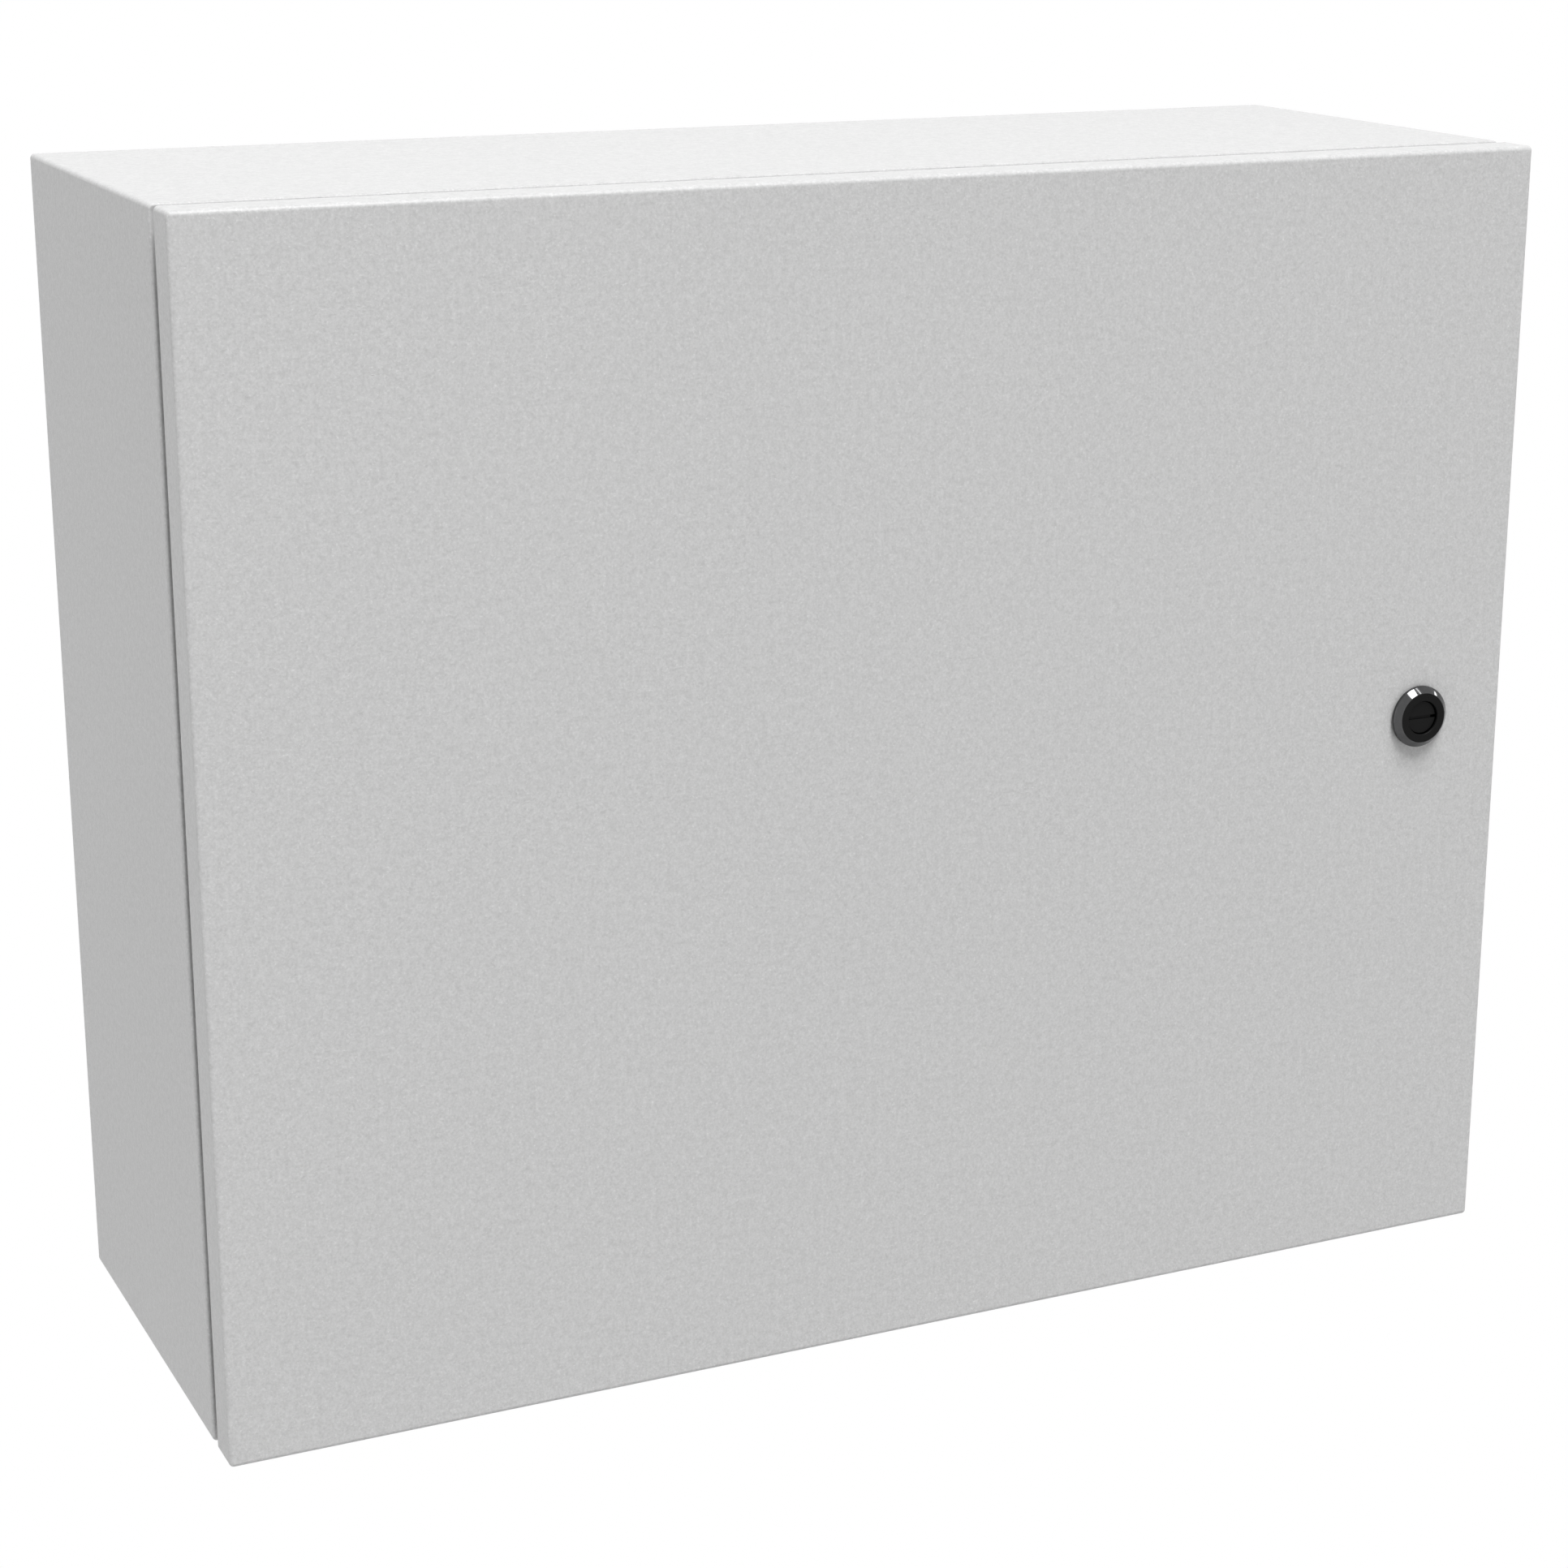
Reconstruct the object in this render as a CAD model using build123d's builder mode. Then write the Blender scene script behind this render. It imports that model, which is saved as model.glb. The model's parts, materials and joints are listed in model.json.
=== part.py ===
import os

from build123d import *

os.makedirs("parts", exist_ok=True)

# A wall-mount controller cabinet of folded sheet steel with one door, in millimetres.
# The wall is the plane y = 0. +X is to the right seen from the front, +Y goes into the wall, +Z is up.
# Depths are measured from the wall towards the front, so Plane.XZ.offset(depth) lies that far out.

# Overall size of the closed cabinet
CABINET_WIDTH = 600.0
CABINET_HEIGHT = 500.0
BODY_DEPTH = 195.5  # wall to the front of the lip round the door opening
DOOR_GAP = 7.5  # lip to the rear edge of the door's rim
DOOR_DEPTH = 18.0  # rear edge of the door's rim to its front face

# Folded sheet
BODY_SHEET = 1.5
BODY_BEND = 2.0  # outside radius of the body's folds
BODY_RIM_EDGE = 0.5  # outside radius where the sides turn into the lip, ground crisp after welding
DOOR_SHEET = 1.5
DOOR_BEND = 2.0  # outside radius of the door's folds

# Door opening: the lip turns inwards, then forwards as a collar that bites into the gasket
LIP_WIDTH = 22.0  # outside of the body to the inner face of the collar
COLLAR_HEIGHT = 16.0  # front of the lip to the collar's rim
COLLAR_BEND = 1.5  # inside radius where the lip turns into the collar
OPENING_CORNER = 12.0
GASKET_WIDTH = 12.0
GASKET_BEVEL = 2.5

# Wall fixing holes
WALL_HOLE_DIAMETER = 9.0
WALL_HOLE_INSET = 30.0  # outside of the body to the middle of a hole

# Mounting plate on four studs
PLATE_INSET = 35.0  # outside of the body to the edge of the plate
PLATE_SHEET = 2.0
PLATE_CORNER_CUT = 25.0
PLATE_STUD_INSET = 30.0  # edge of the plate to the middle of a stud
PLATE_STANDOFF = 18.5  # back wall to the plate
SPACER_DIAMETER = 14.0
PLATE_STUD_TAIL = 5.0  # thread left showing past the nut

# Gland plate over an opening in the floor
GLAND_SIDE_INSET = 150.0  # outside of the body to the side of the opening
GLAND_END_INSET = 49.0  # wall, or front of the lip, to the opening
GLAND_OPENING_CORNER = 6.0
GLAND_MARGIN = 15.0  # overlap of the plate round the opening
GLAND_PLATE_SHEET = 2.0
GLAND_GASKET_SHEET = 2.0
GLAND_GASKET_WIDTH = 13.0
GLAND_STUD_TAIL = 2.0
GLAND_STUD_COLUMNS = 3
GLAND_STUD_ROWS = 2

# Eight millimetre threads: plate studs and earth studs
M8_DIAMETER = 8.0
M8_NUT_ACROSS = 13.0
M8_NUT_HEIGHT = 6.8
M8_WASHER_DIAMETER = 16.0
M8_WASHER_SHEET = 1.6

# Five millimetre threads: gland plate
M5_DIAMETER = 5.0
M5_NUT_ACROSS = 8.0
M5_NUT_HEIGHT = 5.0
M5_FLANGE_DIAMETER = 11.8
M5_FLANGE_HEIGHT = 1.2

# Clearances
THREAD_CLEARANCE = 0.05  # round a stud in its nut
BOLT_HOLE_CLEARANCE = 0.5  # round a stud in a plate
CUT_OVERRUN = 1.0
EDGE_REACH = 0.01  # how near an edge must lie to be picked
THREAD_END_CHAMFER = 0.8

# Earth studs on the floor and on the door
EARTH_SIDE_INSET = 70.0  # outside of the cabinet to the floor stud
EARTH_FRONT_INSET = 48.0  # front of the lip to the floor stud
EARTH_STUD_TAIL = 4.0  # thread left showing past the nut
DOOR_EARTH_SIDE_INSET = 58.0
DOOR_EARTH_BASE_INSET = 55.0

# Concealed hinges
HINGE_END_INSET = 80.0  # top or bottom of the cabinet to the middle of a hinge
HINGE_SIDE_INSET = 6.5  # outside of the cabinet to the hinge axis
HINGE_REAR_INSET = 5.5  # rear edge of the door's rim to the hinge axis
HINGE_SHEET = 2.0
HINGE_BEND = 3.0  # middle radius of the folded hinge strips
KNUCKLE_RADIUS = 4.0
BRACKET_KNUCKLE_LENGTH = 12.0
LEAF_KNUCKLE_LENGTH = 20.0
KNUCKLE_END_GAP = 0.3
BRACKET_RELIEF = 3.5  # room in front of the bracket's leg for the turning leaf
LEAF_FOOT_WIDTH = 7.0
PIN_RADIUS = 2.5
PIN_HEAD_RADIUS = 3.8
PIN_HEAD_HEIGHT = 1.5
PIN_TAIL = 1.0
PIN_FIT_CLEARANCE = 0.03
PIN_RUNNING_CLEARANCE = 0.05

# Door rails
RAIL_SIDE_INSET = 85.0  # outside of the cabinet to the middle of a rail
RAIL_END_INSET = 50.0  # top or bottom of the cabinet to the end of a rail
RAIL_WIDTH = 20.0
RAIL_HEIGHT = 12.0
RAIL_SHEET = 1.5
RAIL_BEND = 2.0  # middle radius of the rail's folds
RAIL_HOLE_DIAMETER = 4.5
RAIL_HOLE_PITCH = 25.0

# Quarter-turn latch
LATCH_SIDE_INSET = 44.5  # outside of the cabinet to the latch axis
LATCH_HEIGHT_SHARE = 0.5  # share of the cabinet's height, from its base
BARREL_DIAMETER = 22.0
BARREL_FLATS = 20.0
BARREL_LENGTH = 18.8  # behind the bezel
BARREL_CLEARANCE = 0.25
LATCH_SEAL_SHEET = 0.8
LATCH_SEAL_DIAMETER = 26.5
BEZEL_DIAMETER = 28.0
BEZEL_RIM = 0.8
BEZEL_HEIGHT = 4.0
BEZEL_FRONT_DIAMETER = 23.0
FACE_RING_DIAMETER = 22.4
FACE_RING_HEIGHT = 1.2
FACE_RING_HOLE = 15.4
FACE_RING_CLEARANCE = 0.05
ROTOR_DIAMETER = 15.2
ROTOR_HEAD_LENGTH = 11.4
ROTOR_SHAFT_DIAMETER = 12.0
ROTOR_CLEARANCE = 0.1
ROTOR_SQUARE = 8.0
ROTOR_SQUARE_GAP = 0.3  # rear end of the square to the cam washer
ROTOR_EDGE = 0.4
SLOT_WIDTH = 1.4
SLOT_DEPTH = 0.8
SLOT_MARK_LENGTH = 2.3  # deep end of the slot, which shows where the latch stands
SLOT_MARK_DEPTH = 2.6
SEAL_GROOVE_WIDTH = 2.4
SEAL_GROOVE_SETBACK = 4.2  # front of the rotor to the groove
SEAL_RING_SECTION = 1.6
CIRCLIP_DIAMETER = 16.0
CIRCLIP_SHEET = 1.0
CIRCLIP_GROOVE_DIAMETER = 10.4
CIRCLIP_CLEARANCE = 0.1
CIRCLIP_MOUTH = 7.0
CIRCLIP_END_GAP = 0.2  # barrel to the circlip
LATCH_NUT_ACROSS = 26.0
LATCH_NUT_HEIGHT = 5.0
LATCH_NUT_TURN = 30.0  # degrees
CAM_LENGTH = 36.0  # latch axis to the tip
CAM_WIDTH = 16.0
CAM_SHEET = 3.0
CAM_HUB_RADIUS = 10.0
CAM_TIP_ROUND = 4.0
CAM_LIP_GAP = 0.3  # rear of the lip to the front of the cam
CAM_SQUARE_CLEARANCE = 0.05
CAM_WASHER_DIAMETER = 15.0
CAM_WASHER_SHEET = 1.5
CAM_SCREW_DIAMETER = 6.0
CAM_SCREW_LENGTH = 12.0
CAM_SCREW_ACROSS = 10.0
CAM_SCREW_HEAD = 4.0

# Depths and places that follow from the sizes above
DOOR_REAR = BODY_DEPTH + DOOR_GAP
DOOR_FRONT = DOOR_REAR + DOOR_DEPTH
DOOR_INSIDE = DOOR_FRONT - DOOR_SHEET
LIP_REAR = BODY_DEPTH - BODY_SHEET
COLLAR_RIM = BODY_DEPTH + COLLAR_HEIGHT
OPENING_WIDTH = CABINET_WIDTH - 2 * LIP_WIDTH
OPENING_HEIGHT = CABINET_HEIGHT - 2 * LIP_WIDTH
COLLAR_WIDTH = OPENING_WIDTH + 2 * BODY_SHEET
COLLAR_TALL = OPENING_HEIGHT + 2 * BODY_SHEET
LEFT_SIDE = -CABINET_WIDTH / 2
BASE = -CABINET_HEIGHT / 2
FLOOR = BASE + BODY_SHEET

WALL_HOLE_SPACING_X = CABINET_WIDTH - 2 * WALL_HOLE_INSET
WALL_HOLE_SPACING_Z = CABINET_HEIGHT - 2 * WALL_HOLE_INSET
PLATE_WIDTH = CABINET_WIDTH - 2 * PLATE_INSET
PLATE_HEIGHT = CABINET_HEIGHT - 2 * PLATE_INSET
PLATE_STUD_SPACING_X = PLATE_WIDTH - 2 * PLATE_STUD_INSET
PLATE_STUD_SPACING_Z = PLATE_HEIGHT - 2 * PLATE_STUD_INSET
PLATE_REAR = BODY_SHEET + PLATE_STANDOFF
PLATE_FRONT = PLATE_REAR + PLATE_SHEET
PLATE_STUD_END = PLATE_FRONT + M8_WASHER_SHEET + M8_NUT_HEIGHT + PLATE_STUD_TAIL
M8_HOLE_RADIUS = M8_DIAMETER / 2 + BOLT_HOLE_CLEARANCE
M8_BORE_RADIUS = M8_DIAMETER / 2 + THREAD_CLEARANCE
M5_HOLE_RADIUS = M5_DIAMETER / 2 + BOLT_HOLE_CLEARANCE
M5_BORE_RADIUS = M5_DIAMETER / 2 + THREAD_CLEARANCE

GLAND_OPENING_WIDTH = CABINET_WIDTH - 2 * GLAND_SIDE_INSET
GLAND_OPENING_DEPTH = BODY_DEPTH - 2 * GLAND_END_INSET
GLAND_PLATE_WIDTH = GLAND_OPENING_WIDTH + 2 * GLAND_MARGIN
GLAND_PLATE_DEPTH = GLAND_OPENING_DEPTH + 2 * GLAND_MARGIN
GLAND_PLATE_CORNER = GLAND_OPENING_CORNER + GLAND_MARGIN / 2
GLAND_STUD_SPACING_X = (GLAND_PLATE_WIDTH - GLAND_MARGIN) / (GLAND_STUD_COLUMNS - 1)
GLAND_STUD_SPACING_Y = (GLAND_PLATE_DEPTH - GLAND_MARGIN) / (GLAND_STUD_ROWS - 1)
GLAND_STUD_GRID = (GLAND_STUD_SPACING_X, GLAND_STUD_SPACING_Y, GLAND_STUD_COLUMNS, GLAND_STUD_ROWS)
GLAND_PLATE_BASE = FLOOR + GLAND_GASKET_SHEET
GLAND_NUT_BASE = GLAND_PLATE_BASE + GLAND_PLATE_SHEET
GLAND_STUD_END = GLAND_NUT_BASE + M5_NUT_HEIGHT + GLAND_STUD_TAIL
GLAND_PLANE = Plane(origin=(0, -BODY_DEPTH / 2, 0), z_dir=(0, 0, 1))

EARTH_POINTS = {
    "earth": Plane(
        origin=(LEFT_SIDE + EARTH_SIDE_INSET, -(BODY_DEPTH - EARTH_FRONT_INSET), FLOOR),
        z_dir=(0, 0, 1),
    ),
    "door_earth": Plane(
        origin=(LEFT_SIDE + DOOR_EARTH_SIDE_INSET, -DOOR_INSIDE, BASE + DOOR_EARTH_BASE_INSET),
        z_dir=(0, 1, 0),
    ),
}

HINGE_HEIGHTS = {"upper": -BASE - HINGE_END_INSET, "lower": BASE + HINGE_END_INSET}
HINGE_X = LEFT_SIDE + HINGE_SIDE_INSET
HINGE_Y = -(DOOR_REAR + HINGE_REAR_INSET)
HINGE_LENGTH = 2 * BRACKET_KNUCKLE_LENGTH + LEAF_KNUCKLE_LENGTH + 2 * KNUCKLE_END_GAP
BRACKET_LEG_X = LEFT_SIDE + LIP_WIDTH - BODY_SHEET - HINGE_SHEET / 2
LEAF_FOOT_Y = -(DOOR_INSIDE - HINGE_SHEET / 2)

RAIL_PLACES = {"left": LEFT_SIDE + RAIL_SIDE_INSET, "right": -LEFT_SIDE - RAIL_SIDE_INSET}
RAIL_LENGTH = CABINET_HEIGHT - 2 * RAIL_END_INSET
RAIL_HOLE_PAIRS = int(RAIL_LENGTH / 2 / RAIL_HOLE_PITCH) - 1  # above and below the middle hole
RAIL_HOLE_COUNT = 2 * RAIL_HOLE_PAIRS + 1
RAIL_MIDDLE_X = (RAIL_WIDTH - RAIL_SHEET) / 2
RAIL_MIDDLE_Y = RAIL_HEIGHT - RAIL_SHEET / 2

LATCH_X = CABINET_WIDTH / 2 - LATCH_SIDE_INSET
LATCH_Z = BASE + LATCH_HEIGHT_SHARE * CABINET_HEIGHT
BEZEL_REAR = DOOR_FRONT + LATCH_SEAL_SHEET
BARREL_REAR = BEZEL_REAR - BARREL_LENGTH
BEZEL_FRONT = BEZEL_REAR + BEZEL_HEIGHT
ROTOR_FRONT = BEZEL_FRONT - FACE_RING_HEIGHT
ROTOR_SHOULDER = ROTOR_FRONT - ROTOR_HEAD_LENGTH
CAM_FRONT = LIP_REAR - CAM_LIP_GAP
CAM_REAR = CAM_FRONT - CAM_SHEET
CAM_WASHER_REAR = CAM_REAR - CAM_WASHER_SHEET
CIRCLIP_FRONT = BARREL_REAR - CIRCLIP_END_GAP
CIRCLIP_REAR = CIRCLIP_FRONT - CIRCLIP_SHEET
SEAL_GROOVE_FRONT = ROTOR_FRONT - SEAL_GROOVE_SETBACK
SEAL_GROOVE_RADIUS = ROTOR_DIAMETER / 2 - SEAL_RING_SECTION

# A half section of the latch: local x is the radius, local y the depth from the wall
LATCH_SECTION = Plane(origin=(LATCH_X, 0, LATCH_Z), x_dir=(1, 0, 0), z_dir=(0, 0, -1))
LATCH_AXIS = Axis((LATCH_X, 0, LATCH_Z), (0, -1, 0))


def latch_plane(depth):
    """The plane square to the latch axis at a depth from the wall, centred on the axis."""
    return Plane(origin=(LATCH_X, -depth, LATCH_Z), x_dir=(1, 0, 0), z_dir=(0, -1, 0))


def opening_edges(part, depth):
    """The edges round the door opening at one depth from the wall."""
    at_depth = part.edges().filter_by_position(Axis.Y, -depth - EDGE_REACH, -depth + EDGE_REACH)
    half_width = OPENING_WIDTH / 2 + BODY_SHEET + EDGE_REACH
    half_height = OPENING_HEIGHT / 2 + BODY_SHEET + EDGE_REACH
    across = at_depth.filter_by_position(Axis.X, -half_width, half_width)
    return across.filter_by_position(Axis.Z, -half_height, half_height)


def hexagon(across):
    """A hexagon in the current sketch, given its size across flats."""
    RegularPolygon(across / 2, 6, major_radius=False)


# Body: a closed box of folded sheet, opened at the front inside its lip
with BuildPart() as cabinet_body:
    Box(CABINET_WIDTH, BODY_DEPTH, CABINET_HEIGHT, align=(Align.CENTER, Align.MAX, Align.CENTER))
    front_edges = cabinet_body.edges().group_by(Axis.Y)[0]
    fillet(cabinet_body.edges() - front_edges, BODY_BEND)
    offset(amount=-BODY_SHEET, mode=Mode.SUBTRACT)
    fillet(cabinet_body.edges().group_by(Axis.Y)[0], BODY_RIM_EDGE)
    with BuildSketch(Plane.XZ.offset(BODY_DEPTH)):
        RectangleRounded(OPENING_WIDTH, OPENING_HEIGHT, OPENING_CORNER)
    extrude(amount=-BODY_SHEET, mode=Mode.SUBTRACT)
    # Collar, with the radius of its fold on both sides of the sheet
    with BuildSketch(Plane.XZ.offset(LIP_REAR)):
        RectangleRounded(COLLAR_WIDTH, COLLAR_TALL, OPENING_CORNER + BODY_SHEET)
        RectangleRounded(OPENING_WIDTH, OPENING_HEIGHT, OPENING_CORNER, mode=Mode.SUBTRACT)
    extrude(amount=BODY_SHEET + COLLAR_HEIGHT)
    fillet(opening_edges(cabinet_body, BODY_DEPTH), COLLAR_BEND)
    fillet(opening_edges(cabinet_body, LIP_REAR), COLLAR_BEND + BODY_SHEET)
    # Wall fixing holes
    with BuildSketch(Plane.XZ):
        with GridLocations(WALL_HOLE_SPACING_X, WALL_HOLE_SPACING_Z, 2, 2):
            Circle(WALL_HOLE_DIAMETER / 2)
    extrude(amount=BODY_SHEET, mode=Mode.SUBTRACT)
    # Cable opening in the floor
    with BuildSketch(GLAND_PLANE.offset(BASE)):
        RectangleRounded(GLAND_OPENING_WIDTH, GLAND_OPENING_DEPTH, GLAND_OPENING_CORNER)
    extrude(amount=BODY_SHEET, mode=Mode.SUBTRACT)
cabinet_body.part.label = "cabinet_body"
export_step(cabinet_body.part, "parts/cabinet_body.step")

# Mounting plate: a flat plate with cut corners that leave room to reach the wall fixing holes
with BuildPart() as mounting_plate:
    with BuildSketch(Plane.XZ.offset(PLATE_REAR)) as plate_outline:
        Rectangle(PLATE_WIDTH, PLATE_HEIGHT)
        chamfer(plate_outline.vertices(), PLATE_CORNER_CUT)
        with GridLocations(PLATE_STUD_SPACING_X, PLATE_STUD_SPACING_Z, 2, 2):
            Circle(M8_HOLE_RADIUS, mode=Mode.SUBTRACT)
    extrude(amount=PLATE_SHEET)
mounting_plate.part.label = "mounting_plate"
export_step(mounting_plate.part, "parts/mounting_plate.step")

with BuildPart() as plate_studs:
    with BuildSketch(Plane.XZ.offset(BODY_SHEET)):
        with GridLocations(PLATE_STUD_SPACING_X, PLATE_STUD_SPACING_Z, 2, 2):
            Circle(M8_DIAMETER / 2)
    extrude(amount=PLATE_STUD_END - BODY_SHEET)
    chamfer(plate_studs.faces().group_by(Axis.Y)[0].edges(), THREAD_END_CHAMFER)
plate_studs.part.label = "plate_studs"
export_step(plate_studs.part, "parts/plate_studs.step")

with BuildPart() as plate_spacers:
    with BuildSketch(Plane.XZ.offset(BODY_SHEET)):
        with GridLocations(PLATE_STUD_SPACING_X, PLATE_STUD_SPACING_Z, 2, 2):
            Circle(SPACER_DIAMETER / 2)
            Circle(M8_HOLE_RADIUS, mode=Mode.SUBTRACT)
    extrude(amount=PLATE_STANDOFF)
plate_spacers.part.label = "plate_spacers"
export_step(plate_spacers.part, "parts/plate_spacers.step")

with BuildPart() as plate_washers:
    with BuildSketch(Plane.XZ.offset(PLATE_FRONT)):
        with GridLocations(PLATE_STUD_SPACING_X, PLATE_STUD_SPACING_Z, 2, 2):
            Circle(M8_WASHER_DIAMETER / 2)
            Circle(M8_HOLE_RADIUS, mode=Mode.SUBTRACT)
    extrude(amount=M8_WASHER_SHEET)
plate_washers.part.label = "plate_washers"
export_step(plate_washers.part, "parts/plate_washers.step")

with BuildPart() as plate_nuts:
    with BuildSketch(Plane.XZ.offset(PLATE_FRONT + M8_WASHER_SHEET)):
        with GridLocations(PLATE_STUD_SPACING_X, PLATE_STUD_SPACING_Z, 2, 2):
            hexagon(M8_NUT_ACROSS)
            Circle(M8_BORE_RADIUS, mode=Mode.SUBTRACT)
    extrude(amount=M8_NUT_HEIGHT)
plate_nuts.part.label = "plate_nuts"
export_step(plate_nuts.part, "parts/plate_nuts.step")

# Gland plate: closes the cable opening from inside, on a flat gasket, held by welded studs
with BuildPart() as gland_gasket:
    with BuildSketch(GLAND_PLANE.offset(FLOOR)):
        RectangleRounded(GLAND_PLATE_WIDTH, GLAND_PLATE_DEPTH, GLAND_PLATE_CORNER)
        RectangleRounded(
            GLAND_PLATE_WIDTH - 2 * GLAND_GASKET_WIDTH,
            GLAND_PLATE_DEPTH - 2 * GLAND_GASKET_WIDTH,
            GLAND_OPENING_CORNER,
            mode=Mode.SUBTRACT,
        )
        with GridLocations(*GLAND_STUD_GRID):
            Circle(M5_HOLE_RADIUS, mode=Mode.SUBTRACT)
    extrude(amount=GLAND_GASKET_SHEET)
gland_gasket.part.label = "gland_gasket"
export_step(gland_gasket.part, "parts/gland_gasket.step")

with BuildPart() as gland_plate:
    with BuildSketch(GLAND_PLANE.offset(GLAND_PLATE_BASE)):
        RectangleRounded(GLAND_PLATE_WIDTH, GLAND_PLATE_DEPTH, GLAND_PLATE_CORNER)
        with GridLocations(*GLAND_STUD_GRID):
            Circle(M5_HOLE_RADIUS, mode=Mode.SUBTRACT)
    extrude(amount=GLAND_PLATE_SHEET)
gland_plate.part.label = "gland_plate"
export_step(gland_plate.part, "parts/gland_plate.step")

with BuildPart() as gland_studs:
    with BuildSketch(GLAND_PLANE.offset(FLOOR)):
        with GridLocations(*GLAND_STUD_GRID):
            Circle(M5_DIAMETER / 2)
    extrude(amount=GLAND_STUD_END - FLOOR)
gland_studs.part.label = "gland_studs"
export_step(gland_studs.part, "parts/gland_studs.step")

with BuildPart() as gland_nuts:
    with BuildSketch(GLAND_PLANE.offset(GLAND_NUT_BASE)):
        with GridLocations(*GLAND_STUD_GRID):
            Circle(M5_FLANGE_DIAMETER / 2)
            Circle(M5_BORE_RADIUS, mode=Mode.SUBTRACT)
    extrude(amount=M5_FLANGE_HEIGHT)
    with BuildSketch(GLAND_PLANE.offset(GLAND_NUT_BASE + M5_FLANGE_HEIGHT)):
        with GridLocations(*GLAND_STUD_GRID):
            hexagon(M5_NUT_ACROSS)
            Circle(M5_BORE_RADIUS, mode=Mode.SUBTRACT)
    extrude(amount=M5_NUT_HEIGHT - M5_FLANGE_HEIGHT)
gland_nuts.part.label = "gland_nuts"
export_step(gland_nuts.part, "parts/gland_nuts.step")

# Earth points: a welded stud with a washer and a nut, on the floor and on the door
for earth_name, earth_plane in EARTH_POINTS.items():
    with BuildPart() as earth_stud:
        with BuildSketch(earth_plane):
            Circle(M8_DIAMETER / 2)
        extrude(amount=M8_WASHER_SHEET + M8_NUT_HEIGHT + EARTH_STUD_TAIL)
        earth_axis = Axis(earth_plane.origin, earth_plane.z_dir)
        chamfer(earth_stud.faces().sort_by(earth_axis)[-1].edges(), THREAD_END_CHAMFER)
    earth_stud.part.label = f"{earth_name}_stud"
    export_step(earth_stud.part, f"parts/{earth_name}_stud.step")

    with BuildPart() as earth_washer:
        with BuildSketch(earth_plane):
            Circle(M8_WASHER_DIAMETER / 2)
            Circle(M8_HOLE_RADIUS, mode=Mode.SUBTRACT)
        extrude(amount=M8_WASHER_SHEET)
    earth_washer.part.label = f"{earth_name}_washer"
    export_step(earth_washer.part, f"parts/{earth_name}_washer.step")

    with BuildPart() as earth_nut:
        with BuildSketch(earth_plane.offset(M8_WASHER_SHEET)):
            hexagon(M8_NUT_ACROSS)
            Circle(M8_BORE_RADIUS, mode=Mode.SUBTRACT)
        extrude(amount=M8_NUT_HEIGHT)
    earth_nut.part.label = f"{earth_name}_nut"
    export_step(earth_nut.part, f"parts/{earth_name}_nut.step")

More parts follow.
